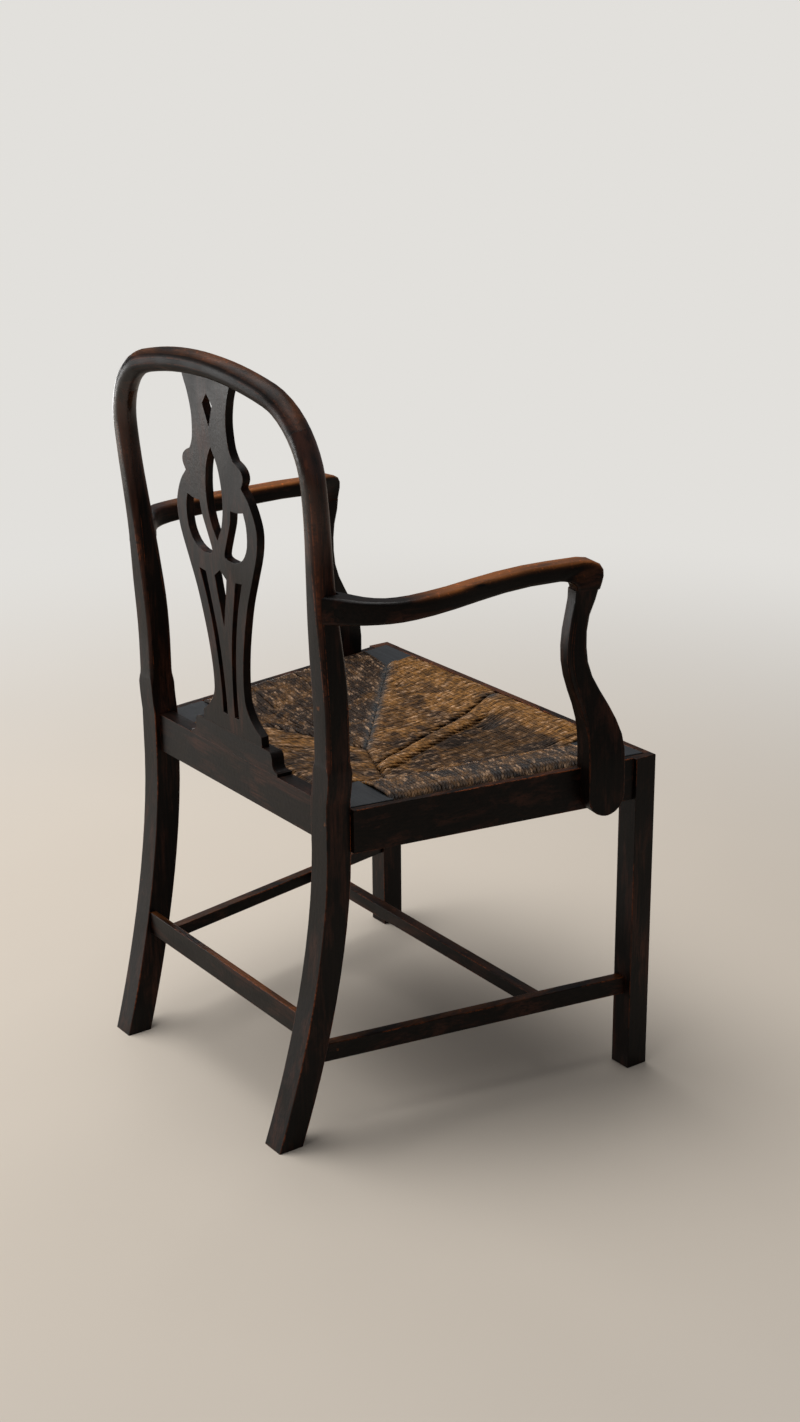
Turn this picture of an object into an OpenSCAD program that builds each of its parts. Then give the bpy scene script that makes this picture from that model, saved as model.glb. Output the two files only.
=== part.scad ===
// Country elbow chair: hooped back, pierced splat, outswept arms and a drop-in rush seat.
// X runs across the chair, Y from front to back, Z up. Lengths are in millimetres.
// Every module is drawn with the front legs' faces at Y = 0, and on_floor() centres the whole.

/* [Chair] */
// Height of the top of the hoop
chair_h = 973; // [940:1:1010]
// Width across the front legs, outside
front_w = 602.6; // [570:0.2:630]
// Width across the back legs at the seat, outside
back_w = 452.6; // [430:0.2:480]
// Depth from the front legs' faces to the back legs' backs, at the seat
seat_depth = 459.5; // [430:0.5:490]
// Height of the top of the front and side rails
seat_h = 445; // [425:1:465]

/* [Legs] */
// Side of the square front legs
front_leg_w = 32.6; // [30:0.2:38]
// Side of the square back legs below the seat
back_leg_w = 35.5; // [33:0.5:40]
// Distance that the back feet kick backwards
foot_kick = 71.5; // [50:0.5:85]
// Distance that the back feet stand in towards the middle
foot_in = 12.8; // [4:0.2:20]
// Rounding of the back legs' edges below the seat
arris_r = 1.5; // [0.5:0.1:4]

/* [Uprights] */
// Outward shift of the uprights just above the seat
upright_shift = 5.7; // [2:0.1:8]
// Side of the uprights above the seat
upright_w = 34.2; // [32:0.2:36]
// Rounding of the uprights above the seat
upright_r = 6.5; // [4:0.5:10]
// Rise above the back rail of the knuckle where the square leg turns into the rounded upright
knuckle_rise = 45; // [35:1:65]
// Lean of the back, as a rise of one gives this much run
back_lean = 0.088; // [0.05:0.002:0.12]
// Height where the back starts to lean
lean_h = 580; // [560:1:610]

/* [Hoop] */
// Diameter of the hoop's rod
hoop_d = 30.3; // [28:0.1:33]
// Width of the hoop, middle of rod to middle of rod
hoop_w = 444.2; // [430:0.2:450]
// Radius of the long curve over the crest
crest_r = 670; // [600:5:800]
// Radius of the shoulders
shoulder_r = 98.6; // [85:0.2:115]
// Angle above level of the joint between crest rail and upright
shoulder_joint_a = 37; // [25:1:50]
// Diameter of the dowels in the shoulder joints
dowel_d = 12; // [8:0.5:14]
// Length of the dowels
dowel_l = 44; // [30:1:60]

/* [Splat] */
// Thickness of the splat
splat_t = 11; // [9:0.5:14]
// Lean of the splat in degrees
splat_lean_a = 2.75; // [2:0.05:3.5]
// Rise above the back rail of the shoe's top, where the splat stands
shoe_rise = 29; // [23:1:35]
// Width of the shoe's foot on the rail
shoe_w = 210; // [190:1:240]
// Width of the splat's foot
splat_foot_w = 141.4; // [120:0.2:150]
// Thickness of the splat's tenons
splat_tenon_t = 5; // [4:0.5:7]

/* [Seat rails] */
// Height of the front and side rails
rail_h = 57; // [50:1:62]
// Thickness of the front and side rails
rail_t = 24; // [22:0.5:28]
// Width of the lip beside the drop-in seat
lip_w = 10; // [8:0.5:12]
// Depth of the rebate for the drop-in seat
rebate_h = 20; // [16:1:24]
// Rise of the back rail above the side rails
back_rail_rise = 10; // [6:1:14]
// Height of the back rail
back_rail_h = 52; // [46:1:56]
// Thickness of the back rail's upper edge, which carries the shoe
back_lip_w = 22; // [20:0.5:24]
// Width of the ledge in front of it
back_ledge_w = 12; // [8:0.5:14]
// Distance of the back rail's face in front of the back legs' backs
back_rail_inset = 7.5; // [4:0.5:9]
// Thickness of the rails' tenons
tenon_t = 9; // [7:0.5:10]
// Length of the rails' tenons
tenon_l = 15; // [12:0.5:18]
// Cover of wood above and below a tenon
tenon_cover = 7; // [5:0.5:10]
// Width of the corner braces under the seat
brace_w = 20; // [14:1:26]
// Height of the corner braces
brace_h = 26; // [20:1:30]

/* [Stretchers] */
// Height of the left side stretcher's underside at the front leg
left_stretcher_z = 119.5; // [112:0.5:124]
// Fall of the left side stretcher to the back leg
left_stretcher_fall = 0; // [0:0.5:8]
// Height of the left side stretcher
left_stretcher_h = 17; // [16.5:0.5:24]
// Height of the right side stretcher's underside at the front leg
right_stretcher_z = 107; // [102:0.5:109]
// Fall of the right side stretcher to the back leg
right_stretcher_fall = 5.5; // [0:0.5:8]
// Height of the right side stretcher
right_stretcher_h = 24.5; // [22:0.5:30]
// Thickness of the side stretchers
stretcher_t = 15; // [12:0.5:18]
// Distance of the side stretchers' faces from the front legs' outer faces
stretcher_in = 13.3; // [8:0.1:15]
// Slope of the side stretchers towards the middle, run sideways for each run backwards
stretcher_slope = 0.2; // [0.17:0.005:0.23]
// Height of the cross stretcher's underside
cross_z = 110.5; // [108:0.5:112]
// Height of the cross stretcher
cross_h = 18.5; // [18:0.5:20]
// Thickness of the cross stretcher
cross_t = 15; // [12:0.5:18]
// Distance of the cross stretcher's back from the front legs' faces
cross_y = 161; // [130:1:250]
// Height of the back stretcher's underside
back_stretcher_z = 141; // [130:1:160]
// Height of the back stretcher
back_stretcher_h = 32; // [28:1:44]
// Thickness of the back stretcher
back_stretcher_t = 9; // [7:0.5:16]
// Distance of the back stretcher's face in front of the back legs' backs
back_stretcher_in = 5.5; // [3:0.5:8]
// Depth to which stretchers are let into the legs
stretcher_let = 14; // [10:0.5:18]

/* [Arms] */
// Height of the joint between arm and support
arm_joint_h = 684; // [674:1:688]
// Width of the arms
arm_w = 28; // [25:0.5:31]
// Rounding of the arms' edges
arm_r = 6; // [3:0.5:9]
// Distance that the supports' feet stand out from the side rails
support_out = 24; // [20:0.5:28]
// Depth of the supports' feet, front to back
support_foot_d = 52; // [44:1:58]
// Distance that a support's lobe hangs below the rail
support_drop = 4; // [1:0.5:8]
// Diameter of the wood screws' shanks
screw_d = 4.5; // [3.5:0.1:5.5]

/* [Drop-in seat] */
// Gap round the drop-in seat
seat_gap = 1; // [0.5:0.1:2]
// Depth of a front corner block, front to back
front_block_d = 56; // [45:1:65]
// Width of a front corner block
front_block_w = 84; // [70:1:95]
// Depth of a back corner block, front to back
back_block_d = 66; // [50:1:72]
// Width of a back corner block
back_block_w = 66; // [50:1:72]
// Rise of the corner blocks above the rails
block_rise = 1; // [0:0.5:3]
// Width of the bars that the rush is wound round
bar_w = 30; // [24:1:36]
// Thickness of the bars
bar_t = 10; // [8:0.5:11]
// Thickness of the rush over the bars
rush_t = 5; // [4:0.5:6]
// Rise of the rush's rolled edges above the rails
rush_rise = 9; // [5:0.5:14]
// Sag of the middle of the rush below its rolled edges
rush_sag = 7; // [2:0.5:12]

/* [Hidden] */

$fn = 48;
// Clearance round a tenon, dowel or let-in end
joint_gap = 0.1;
// Cuts run past the faces that they open
past = 1;
// Points on each corner of a rounded section
corner_points = 4;
kick_power = 1.7;

// Places worked out from the sizes
rail_z = seat_h - rail_h;
ledge_z = seat_h - rebate_h;
back_rail_top = seat_h + back_rail_rise;
back_rail_z = back_rail_top - back_rail_h;
knuckle_h = back_rail_top + knuckle_rise;
shoe_h = back_rail_top + shoe_rise;
back_rail_y = seat_depth - back_rail_inset;
side_a = atan((front_w - back_w) / 2 / seat_depth);
leg_x = back_w / 2 - back_leg_w / 2;
leg_y = seat_depth - back_leg_w / 2;
leg_front_y = seat_depth - back_leg_w;
leg_inner_x = leg_x - back_leg_w / 2;
front_leg_inner_x = front_w / 2 - front_leg_w;
chair_depth = seat_depth + foot_kick;
crest_z = chair_h - hoop_d / 2;
crest_low_z = chair_h - hoop_d;
crest_centre_z = crest_z - crest_r;
shoulder_x = hoop_w / 2 - shoulder_r;
shoulder_z = crest_centre_z + sqrt(pow(crest_r - shoulder_r, 2) - pow(shoulder_x, 2));
crest_a = atan2(shoulder_z - crest_centre_z, shoulder_x);

function ease(t) = let (c = min(1, max(0, t))) c * c * (3 - 2 * c);
function mix(a, b, t) = a + (b - a) * t;
function reversed(p) = [for (i = [len(p) - 1 : -1 : 0]) p[i]];
function flipped(p) = [for (q = reversed(p)) [-q[0], q[1]]];

// Smooth curve through points, with n steps between two of them
function curve(p, n) = concat(
  [for (i = [0 : len(p) - 2]) for (k = [0 : n - 1])
    let (t = k / n,
         a = i > 0 ? p[i - 1] : 2 * p[0] - p[1],
         d = i < len(p) - 2 ? p[i + 2] : 2 * p[i + 1] - p[i])
    (2 * p[i] + (p[i + 1] - a) * t + (2 * a - 5 * p[i] + 4 * p[i + 1] - d) * t * t
      + (3 * p[i] - a - 3 * p[i + 1] + d) * t * t * t) / 2],
  [p[len(p) - 1]]);

// Section w by d with corners rounded by r, in the plane of the directions u and v round c
function ring(c, u, v, w, d, r) =
  [for (q = [0 : 3]) for (i = [0 : corner_points - 1])
    let (a = 90 * (q + (i + 0.5) / corner_points),
         sx = (q == 0 || q == 3) ? 1 : -1,
         sy = q < 2 ? 1 : -1)
    c + u * (sx * (w / 2 - r) + r * cos(a)) + v * (sy * (d / 2 - r) + r * sin(a))];

// Solid that runs through rings of as many points each
module loft(rings) {
  n = len(rings[0]);
  last = len(rings) - 1;
  points = [for (s = rings) for (p = s) p];
  sides = [for (i = [0 : last - 1]) for (j = [0 : n - 1])
    let (a = i * n + j, b = i * n + (j + 1) % n)
    each [[a, a + n, b], [b, a + n, b + n]]];
  first_cap = [for (j = [1 : n - 2]) [0, j, j + 1]];
  last_cap = [for (j = [1 : n - 2]) [last * n, last * n + j + 1, last * n + j]];
  polyhedron(points, concat(sides, first_cap, last_cap));
}

module on_floor() {
  translate([0, -chair_depth / 2, 0])
    children();
}

// The left copy is drawn as it is and the right one is its mirror image
module hand(side) {
  mirror([side == "right" ? 1 : 0, 0, 0])
    children();
}

module block(low, high) {
  translate(low)
    cube(high - low);
}

module slab(outline, low, high) {
  translate([0, 0, low])
    linear_extrude(high - low)
      polygon(outline);
}

// Side rail lines: X at depth y, a given distance inside the rail's outer face
function side_x(y, inset) = front_w / 2 - y * tan(side_a) - inset / cos(side_a);
function side_strip(y0, y1, inset0, inset1) =
  [[side_x(y0, inset0), y0], [side_x(y1, inset0), y1], [side_x(y1, inset1), y1], [side_x(y0, inset1), y0]];

// Frame along the left side rail: X out of its face, Y backwards
module at_side() {
  translate([front_w / 2, 0, 0])
    rotate([0, 0, side_a])
      children();
}

// Back leg and upright: place and section at height z
function kick(z) = pow(max(0, rail_z - z) / rail_z, kick_power);
lean_length = 80;
function leaned(z) =
  let (t = z - lean_h + lean_length / 2)
  back_lean * (t <= 0 ? 0 : t < lean_length ? t * t / 2 / lean_length : t - lean_length / 2);
function upright_y(z) = leg_y + foot_kick * kick(z) + leaned(z);
upright_x = leg_x + upright_shift;
spread_z = 680;
spread_end = 15;
function post_x(z) =
  z <= back_rail_top ? leg_x - foot_in * kick(z) :
  z < knuckle_h ? leg_x + upright_shift * sin(90 * (z - back_rail_top) / (knuckle_h - back_rail_top)) :
  mix(upright_x, hoop_w / 2, ease((z - spread_z) / (shoulder_z - spread_end - spread_z)));
knuckle_l = 12;
taper_z = 600;
taper_length = 140;
function post_w(z) =
  z <= back_rail_top ? back_leg_w :
  z < taper_z ? mix(back_leg_w, upright_w, ease((z - knuckle_h) / knuckle_l)) :
  mix(upright_w, hoop_d, ease((z - taper_z) / taper_length));
function post_r(z) =
  z < taper_z ? mix(arris_r, upright_r, ease((z - knuckle_h + knuckle_l / 2) / knuckle_l)) :
  mix(upright_r, hoop_d / 2, ease((z - taper_z) / (shoulder_z - taper_z)));
function post_ring(z) =
  ring([post_x(z), upright_y(z), z], [1, 0, 0], [0, 1, 0], post_w(z), post_w(z), post_r(z));

// Hoop: ring at angle a above level, seen from the back, with the crest at 90
function hoop_point(a) =
  a < crest_a ? [shoulder_x + shoulder_r * cos(a), shoulder_z + shoulder_r * sin(a)] :
  a > 180 - crest_a ? [-shoulder_x + shoulder_r * cos(a), shoulder_z + shoulder_r * sin(a)] :
  [crest_r * cos(a), crest_centre_z + crest_r * sin(a)];
function hoop_ring(a) =
  let (p = hoop_point(a))
  ring([p[0], upright_y(p[1]), p[1]], [cos(a), 0, sin(a)], [0, 1, 0], hoop_d, hoop_d, hoop_d / 2);

kick_steps = 12;
upright_steps = 16;
shoulder_steps = 5;
knuckle_levels = [0, 0.25, 0.5, 0.75];
post_levels = concat(
  [for (i = [0 : kick_steps]) rail_z * i / kick_steps],
  [for (t = knuckle_levels) mix(back_rail_top, knuckle_h - knuckle_l / 2, t)],
  [for (t = [-1, 0, 1, 2]) knuckle_h + t * knuckle_l / 2],
  [for (i = [1 : upright_steps]) mix(knuckle_h + knuckle_l, shoulder_z, i / upright_steps)]);

module post_blank() {
  loft(concat(
    [for (z = post_levels) post_ring(z)],
    [for (i = [1 : shoulder_steps]) hoop_ring(shoulder_joint_a * i / shoulder_steps)]));
}

crest_steps = 16;
module crest_blank() {
  loft(concat(
    [for (i = [0 : shoulder_steps]) hoop_ring(mix(shoulder_joint_a, crest_a, i / shoulder_steps))],
    [for (i = [1 : crest_steps]) hoop_ring(mix(crest_a, 180 - crest_a, i / crest_steps))],
    [for (i = [1 : shoulder_steps]) hoop_ring(180 - mix(crest_a, shoulder_joint_a, i / shoulder_steps))]));
}

// Dowel across the left shoulder joint
module shoulder_dowel(gap) {
  p = hoop_point(shoulder_joint_a);
  translate([p[0], upright_y(p[1]), p[1]])
    rotate([0, -shoulder_joint_a, 0])
      cylinder(h = dowel_l + 2 * gap, d = dowel_d + 2 * gap, center = true);
}

// Tenons, grown by a gap for their mortises
module side_rail_tenon_front(gap) {
  slab(side_strip(front_leg_w - tenon_l - gap, front_leg_w + past,
    side_tenon_in - gap, side_tenon_in + tenon_t + gap),
    rail_z + tenon_cover - gap, ledge_z - tenon_cover / 2 + gap);
}
module side_rail_tenon_back(gap) {
  slab(side_strip(leg_front_y - past, leg_front_y + tenon_l + gap,
    back_tenon_in - gap, back_tenon_in + tenon_t + gap),
    rail_z + tenon_cover - gap, ledge_z - tenon_cover / 2 + gap);
}
side_tenon_in = 9;
back_tenon_in = 10;

module front_rail_tenon(gap) {
  block([front_leg_inner_x - past, front_tenon_in - gap, rail_z + tenon_cover - gap],
    [front_leg_inner_x + tenon_l / 2 + gap, front_tenon_in + tenon_t + gap, ledge_z - tenon_cover / 2 + gap]);
}
front_tenon_in = 3.5;

module back_rail_tenon(gap) {
  block([leg_inner_x - past, back_rail_y - back_tenon_set - tenon_t - gap, back_rail_z + tenon_cover - gap],
    [leg_inner_x + tenon_l + gap, back_rail_y - back_tenon_set + gap, back_rail_top - tenon_cover + gap]);
}
back_tenon_set = 1;

// Stretchers, with their let-in ends
function stretcher_x(y, inset) = front_w / 2 - stretcher_in - (y - front_leg_w) * stretcher_slope - inset;
function post_front_y(z) = upright_y(z) - back_leg_w / 2;
function stretcher_z(side) = side == "left" ? left_stretcher_z : right_stretcher_z;
function stretcher_fall(side) = side == "left" ? left_stretcher_fall : right_stretcher_fall;
function stretcher_h(side) = side == "left" ? left_stretcher_h : right_stretcher_h;
module side_stretcher_bar(side, gap) {
  low = stretcher_z(side);
  run = post_front_y(low) - front_leg_w;
  y0 = front_leg_w - stretcher_let - gap;
  y1 = front_leg_w + run + stretcher_let + gap;
  translate([0, front_leg_w, low])
    rotate([-atan(stretcher_fall(side) / run), 0, 0])
      translate([0, -front_leg_w, 0])
        slab([[stretcher_x(y0, -gap), y0], [stretcher_x(y1, -gap), y1],
          [stretcher_x(y1, stretcher_t + gap), y1], [stretcher_x(y0, stretcher_t + gap), y0]],
          -gap, stretcher_h(side) + gap);
}
cross_let = 6;
cross_cover = 1.5;
cross_tenon_in = 3;
module cross_stretcher_tenon(gap) {
  x0 = stretcher_x(cross_y, stretcher_t) - 2 * past;
  low = left_stretcher_z + cross_cover;
  high = cross_z + cross_h - cross_cover;
  block([x0, cross_y - cross_t + cross_tenon_in - gap, low - gap],
    [x0 + cross_let + 4 * past, cross_y - cross_tenon_in + gap, high + gap]);
}
back_stretcher_mid = back_stretcher_z + back_stretcher_h / 2;
back_stretcher_y = upright_y(back_stretcher_mid) + back_leg_w / 2 - back_stretcher_in;
module back_stretcher_bar(gap) {
  x1 = post_x(back_stretcher_mid) - back_leg_w / 2 + stretcher_let + gap;
  block([-x1, back_stretcher_y - back_stretcher_t - gap, back_stretcher_z - gap],
    [x1, back_stretcher_y + gap, back_stretcher_z + back_stretcher_h + gap]);
}

module back_leg(side) {
  color("#241b17")
    hand(side)
      difference() {
        post_blank();
        shoulder_dowel(joint_gap);
        side_rail_tenon_back(joint_gap);
        back_rail_tenon(joint_gap);
        side_stretcher_bar(side, joint_gap);
        back_stretcher_bar(joint_gap);
        arm_screw(joint_gap);
      }
}

module crest_rail() {
  color("#2a201b")
    difference() {
      crest_blank();
      for (side = ["left", "right"])
        hand(side)
          shoulder_dowel(joint_gap);
      splat_top_tenon(joint_gap);
    }
}

module crest_dowels() {
  color("#8a6f4d")
    for (side = ["left", "right"])
      hand(side)
        shoulder_dowel(0);
}

// Splat, drawn flat with X across and Y up its face from the shoe, for this height, and stretched to the
// chair's own
drawn_splat_h = 458.7;
splat_top_tenon_w = 80;
splat_foot_tenon_w = 110;
splat_tenon_l = 12;
neck = [[59, 471], [55, 454], [47, 436], [41.4, 414], [41, 396], [44, 377], [51.5, 364]];
lobe = [[51.5, 364], [63, 359], [70.5, 352], [71.5, 343], [65.6, 333.3]];
belly = [[65.6, 333.3], [80, 319], [91, 299], [95.3, 280], [90.5, 253], [76, 219], [61, 184], [50, 148],
  [42.4, 116], [38, 87], [36.8, 66], [38.5, 48], [46, 34], [56, 24]];
splat_flare_y = 14;
diamond = [[0, 439], [11.5, 426], [0, 399]];
lens = [[0, 373], [12, 353], [18.2, 326], [18.3, 300], [12, 275], [0, 255]];
crescent_top = [[37, 300], [51, 300], [66, 303]];
crescent_outer = [[66, 303], [71, 286], [69.5, 261], [58, 243], [40, 234.5], [22, 234.5]];
crescent_inner = [[22, 234.5], [14.5, 239], [24, 262], [33, 282], [37, 300]];
slot_outer = [[50.7, 209.8], [38, 175], [27.8, 135], [21.5, 94], [18.6, 55], [19, 24]];
slot_inner = [[9, 23], [8.8, 46], [11.5, 91], [17, 132], [26, 171], [35.5, 208.2]];
arrow = [[0, 217], [14, 207.5], [9.5, 184], [4.5, 164], [0, 143]];
curve_steps = 3;

module splat_outline() {
  foot = [splat_foot_w / 2, splat_flare_y];
  half = concat(curve(neck, curve_steps), curve(lobe, curve_steps), curve(concat(belly, [foot]), curve_steps),
    [[foot[0], -past]]);
  polygon(concat(half, flipped(half)));
}

module splat_piercings() {
  polygon(concat(diamond, flipped(diamond)));
  polygon(concat(curve(lens, curve_steps), flipped(curve(lens, curve_steps))));
  polygon(concat(arrow, flipped(arrow)));
  for (side = [0, 1])
    mirror([side, 0]) {
      polygon(concat(curve(crescent_top, curve_steps), curve(crescent_outer, curve_steps),
        curve(crescent_inner, curve_steps)));
      polygon(concat(curve(slot_outer, curve_steps), curve(slot_inner, curve_steps)));
    }
}

module splat_stretched() {
  translate([0, shoe_h])
    scale([1, (crest_low_z - shoe_h) / drawn_splat_h])
      children();
}

// Frame of the splat's back face, which leans from the shoe's back edge
module at_splat() {
  translate([0, back_rail_y - shoe_h * tan(splat_lean_a), 0])
    rotate([90 - splat_lean_a, 0, 0])
      children();
}

module splat_bar(width, low, high, gap) {
  at_splat()
    translate([-width / 2 - gap, low - gap, (splat_t - splat_tenon_t) / 2 - gap])
      cube([width + 2 * gap, high - low + 2 * gap, splat_tenon_t + 2 * gap]);
}

module splat_top_tenon(gap) {
  splat_bar(splat_top_tenon_w, crest_z - hoop_d / 2 - 2 * splat_tenon_l, crest_z, gap);
}

module splat_foot_tenon(gap) {
  splat_bar(splat_foot_tenon_w, shoe_h - splat_tenon_l, shoe_h + splat_tenon_l, gap);
}

module splat() {
  color("#2b221e") {
    difference() {
      at_splat()
        linear_extrude(splat_t)
          splat_stretched()
            difference() {
              splat_outline();
              splat_piercings();
            }
      crest_blank();
      block([-splat_foot_w, 0, 0], [splat_foot_w, chair_depth, shoe_h]);
      block([-hoop_w, 0, crest_z - past], [hoop_w, chair_depth, chair_h + hoop_d]);
    }
    intersection() {
      splat_top_tenon(0);
      block([-hoop_w, 0, crest_z - hoop_d], [hoop_w, chair_depth, chair_h]);
    }
    splat_foot_tenon(0);
  }
}

// Moulded shoe: its end outline seen from behind, cut by its outline seen from the side
shoe_fillet_h = 4;
shoe_cove_r = 12;
shoe_cove_end_a = 200;
shoe_round_r = 9;
shoe_front_lip = 7;
shoe_lip_r = 3;
arc_steps = 6;
function arc(cx, cy, r, a0, a1) =
  [for (i = [0 : arc_steps]) let (a = mix(a0, a1, i / arc_steps)) [cx + r * cos(a), cy + r * sin(a)]];
module splat_shoe() {
  z0 = back_rail_top;
  z1 = z0 + shoe_fillet_h;
  half = concat(
    [[shoe_w / 2, z0], [shoe_w / 2, z1]],
    arc(shoe_w / 2, z1 + shoe_cove_r, shoe_cove_r, 270, shoe_cove_end_a),
    arc(shoe_w / 2 - shoe_cove_r - shoe_round_r, shoe_h - shoe_round_r, shoe_round_r, 0, 90));
  front_y = back_rail_y - back_lip_w;
  top_y = back_rail_y - splat_t - shoe_front_lip;
  side_view = concat(
    [[back_rail_y, z0], [back_rail_y, shoe_h], [top_y + shoe_lip_r, shoe_h]],
    arc(top_y + shoe_lip_r, shoe_h - shoe_lip_r, shoe_lip_r, 90, 180),
    arc(front_y, z1 + top_y - front_y, top_y - front_y, 0, -90),
    [[front_y, z0]]);
  color("#2d2420")
    difference() {
      intersection() {
        translate([0, back_rail_y + past, 0])
          rotate([90, 0, 0])
            linear_extrude(back_lip_w + 2 * past)
              polygon(concat(half, flipped(half)));
        translate([-shoe_w / 2 - past, 0, 0])
          rotate([90, 0, 90])
            linear_extrude(shoe_w + 2 * past)
              polygon(side_view);
      }
      splat_foot_tenon(joint_gap);
    }
}

module front_leg(side) {
  color("#1d1613")
    hand(side)
      difference() {
        block([front_leg_inner_x, 0, 0], [front_w / 2, front_leg_w, seat_h]);
        slab([[0, lip_w], [side_x(lip_w, lip_w), lip_w],
          [side_x(front_leg_w + past, lip_w), front_leg_w + past], [0, front_leg_w + past]],
          ledge_z, seat_h + past);
        side_rail_tenon_front(joint_gap);
        front_rail_tenon(joint_gap);
        side_stretcher_bar(side, joint_gap);
      }
}

module side_seat_rail(side) {
  color("#1e1714")
    hand(side)
      difference() {
        union() {
          slab(side_strip(front_leg_w, leg_front_y, 0, rail_t), rail_z, seat_h);
          side_rail_tenon_front(0);
          side_rail_tenon_back(0);
        }
        slab(side_strip(front_leg_w - tenon_l, leg_front_y + tenon_l, lip_w, rail_t + past),
          ledge_z, seat_h + past);
        support_screw_set(joint_gap);
      }
}

module front_seat_rail() {
  x1 = front_leg_inner_x;
  color("#1e1714") {
    difference() {
      block([-x1, 0, rail_z], [x1, rail_t, seat_h]);
      block([-x1 - past, lip_w, ledge_z], [x1 + past, rail_t + past, seat_h + past]);
    }
    for (side = ["left", "right"])
      hand(side)
        front_rail_tenon(0);
  }
}

module back_seat_rail() {
  x1 = leg_inner_x;
  front_y = back_rail_y - back_lip_w - back_ledge_w;
  color("#29211e") {
    difference() {
      block([-x1, front_y, back_rail_z], [x1, back_rail_y, back_rail_top]);
      block([-x1 - past, front_y - past, ledge_z],
        [x1 + past, back_rail_y - back_lip_w, back_rail_top + past]);
    }
    for (side = ["left", "right"])
      hand(side)
        back_rail_tenon(0);
  }
}

// Braces cross the corners under the drop-in seat
brace_reach = 62;
module brace_front(side) {
  y1 = rail_t + brace_reach;
  x1 = side_x(rail_t, rail_t) - brace_reach;
  color("#6b5138")
    hand(side)
      slab([[x1, rail_t], [x1 + brace_w, rail_t], [side_x(y1 - brace_w, rail_t), y1 - brace_w],
        [side_x(y1, rail_t), y1]], ledge_z - brace_h, ledge_z);
}

module brace_back(side) {
  y0 = back_rail_y - back_lip_w - back_ledge_w;
  y1 = y0 - brace_reach;
  x1 = side_x(y0, rail_t) - brace_reach;
  color("#6b5138")
    hand(side)
      slab([[x1, y0], [side_x(y1, rail_t), y1], [side_x(y1 + brace_w, rail_t), y1 + brace_w],
        [x1 + brace_w, y0]], ledge_z - brace_h, ledge_z);
}

module side_stretcher(side) {
  color("#221a16")
    hand(side)
      difference() {
        side_stretcher_bar(side, 0);
        cross_stretcher_tenon(joint_gap);
      }
}

module cross_stretcher() {
  y0 = cross_y - cross_t;
  color("#221a16") {
    slab([[-stretcher_x(cross_y, stretcher_t), cross_y], [stretcher_x(cross_y, stretcher_t), cross_y],
      [stretcher_x(y0, stretcher_t), y0], [-stretcher_x(y0, stretcher_t), y0]], cross_z, cross_z + cross_h);
    for (side = ["left", "right"])
      hand(side)
        cross_stretcher_tenon(0);
  }
}

module back_stretcher() {
  color("#221a16")
    back_stretcher_bar(0);
}

// Arm seen from above: inner and outer edge of each section, from the knuckle backwards. X is out from the
// line between the front leg's face and the middle of the upright, Y is back from the knuckle.
arm_start_y = 160;
arm_drawn_run = 303.5;
arm_past_upright = 11.2;
arm_mid_h = 16;
arm_mid_z = arm_joint_h + arm_mid_h;
arm_run = upright_y(arm_mid_z) + arm_past_upright - arm_start_y;
arm_edges = [
  [[-36.6, 0], [-7.1, 0]], [[-25.2, 40], [3.2, 40]], [[-12.8, 80], [15, 80]], [[2.5, 120], [30.1, 120]],
  [[18.6, 160], [46.1, 160]], [[28.2, 190], [55.7, 190]], [[33.7, 214], [60.5, 214]],
  [[34.4, 229], [61.7, 232]], [[32, 240], [58.5, 245]], [[25.8, 248], [52.8, 256.5]],
  [[17.7, 254.5], [45.2, 268.5]], [[8.3, 260], [36, 280]], [[0, 266], [27.7, 289.5]],
  [[-6, 273], [21.9, 297]], [[-10.7, 281], [16.8, 303.5]]];
// Underside and top of each section above the joint
arm_levels = [
  [14.8, 37.8], [15.9, 38.7], [14.9, 38], [13, 36.8], [10.9, 35.3], [9.1, 34.3], [7.5, 33.4], [6.3, 32.9],
  [5, 32.5], [3.7, 32.2], [2.4, 32.3], [1.4, 33], [0.7, 34.2], [0.3, 35.2], [0.3, 35.6]];
function arm_point(q) =
  let (t = q[1] / arm_drawn_run)
  [mix(front_w / 2, upright_x, t) + q[0], arm_start_y + arm_run * t];
function arm_ring(i) =
  let (a = arm_point(arm_edges[i][0]), b = arm_point(arm_edges[i][1]), w = norm(b - a),
       low = arm_joint_h + arm_levels[i][0], high = arm_joint_h + arm_levels[i][1])
  ring([(a[0] + b[0]) / 2, (a[1] + b[1]) / 2, (low + high) / 2],
    [(b - a)[0] / w, (b - a)[1] / w, 0], [0, 0, 1], w, high - low, arm_r);

// Knuckle where the arm turns down into the support: front edge and back edge of each section, as distance
// from the front and height above the joint, and the place of its middle in from the front leg's face
knuckle_edges = [
  [[99.5, 0], [131.7, 0]], [[97.2, 8], [132.6, 3.5]], [[95.2, 16], [134.2, 7]],
  [[95.4, 24], [137.5, 10.2]], [[99.5, 31], [142, 12.5]], [[108, 35.6], [148, 13.8]],
  [[120, 37.4], [154, 14.4]]];
knuckle_in = [12.6, 12, 12.1, 12.9, 14.7, 17.1, 19.7];
function knuckle_ring(i) =
  let (f = knuckle_edges[i][0], b = knuckle_edges[i][1], d = norm(f - b), k = (f - b) / d,
       across = [cos(side_a), sin(side_a), 0])
  ring([front_w / 2 - knuckle_in[i], (f[0] + b[0]) / 2, arm_joint_h + (f[1] + b[1]) / 2], across,
    [-tan(side_a) * k[0], k[0], k[1]], arm_w, d, arm_r);

module arm_blank() {
  loft(concat(
    [for (i = [0 : len(knuckle_in) - 1]) knuckle_ring(i)],
    [for (i = [0 : len(arm_edges) - 1]) arm_ring(i)]));
}

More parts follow.
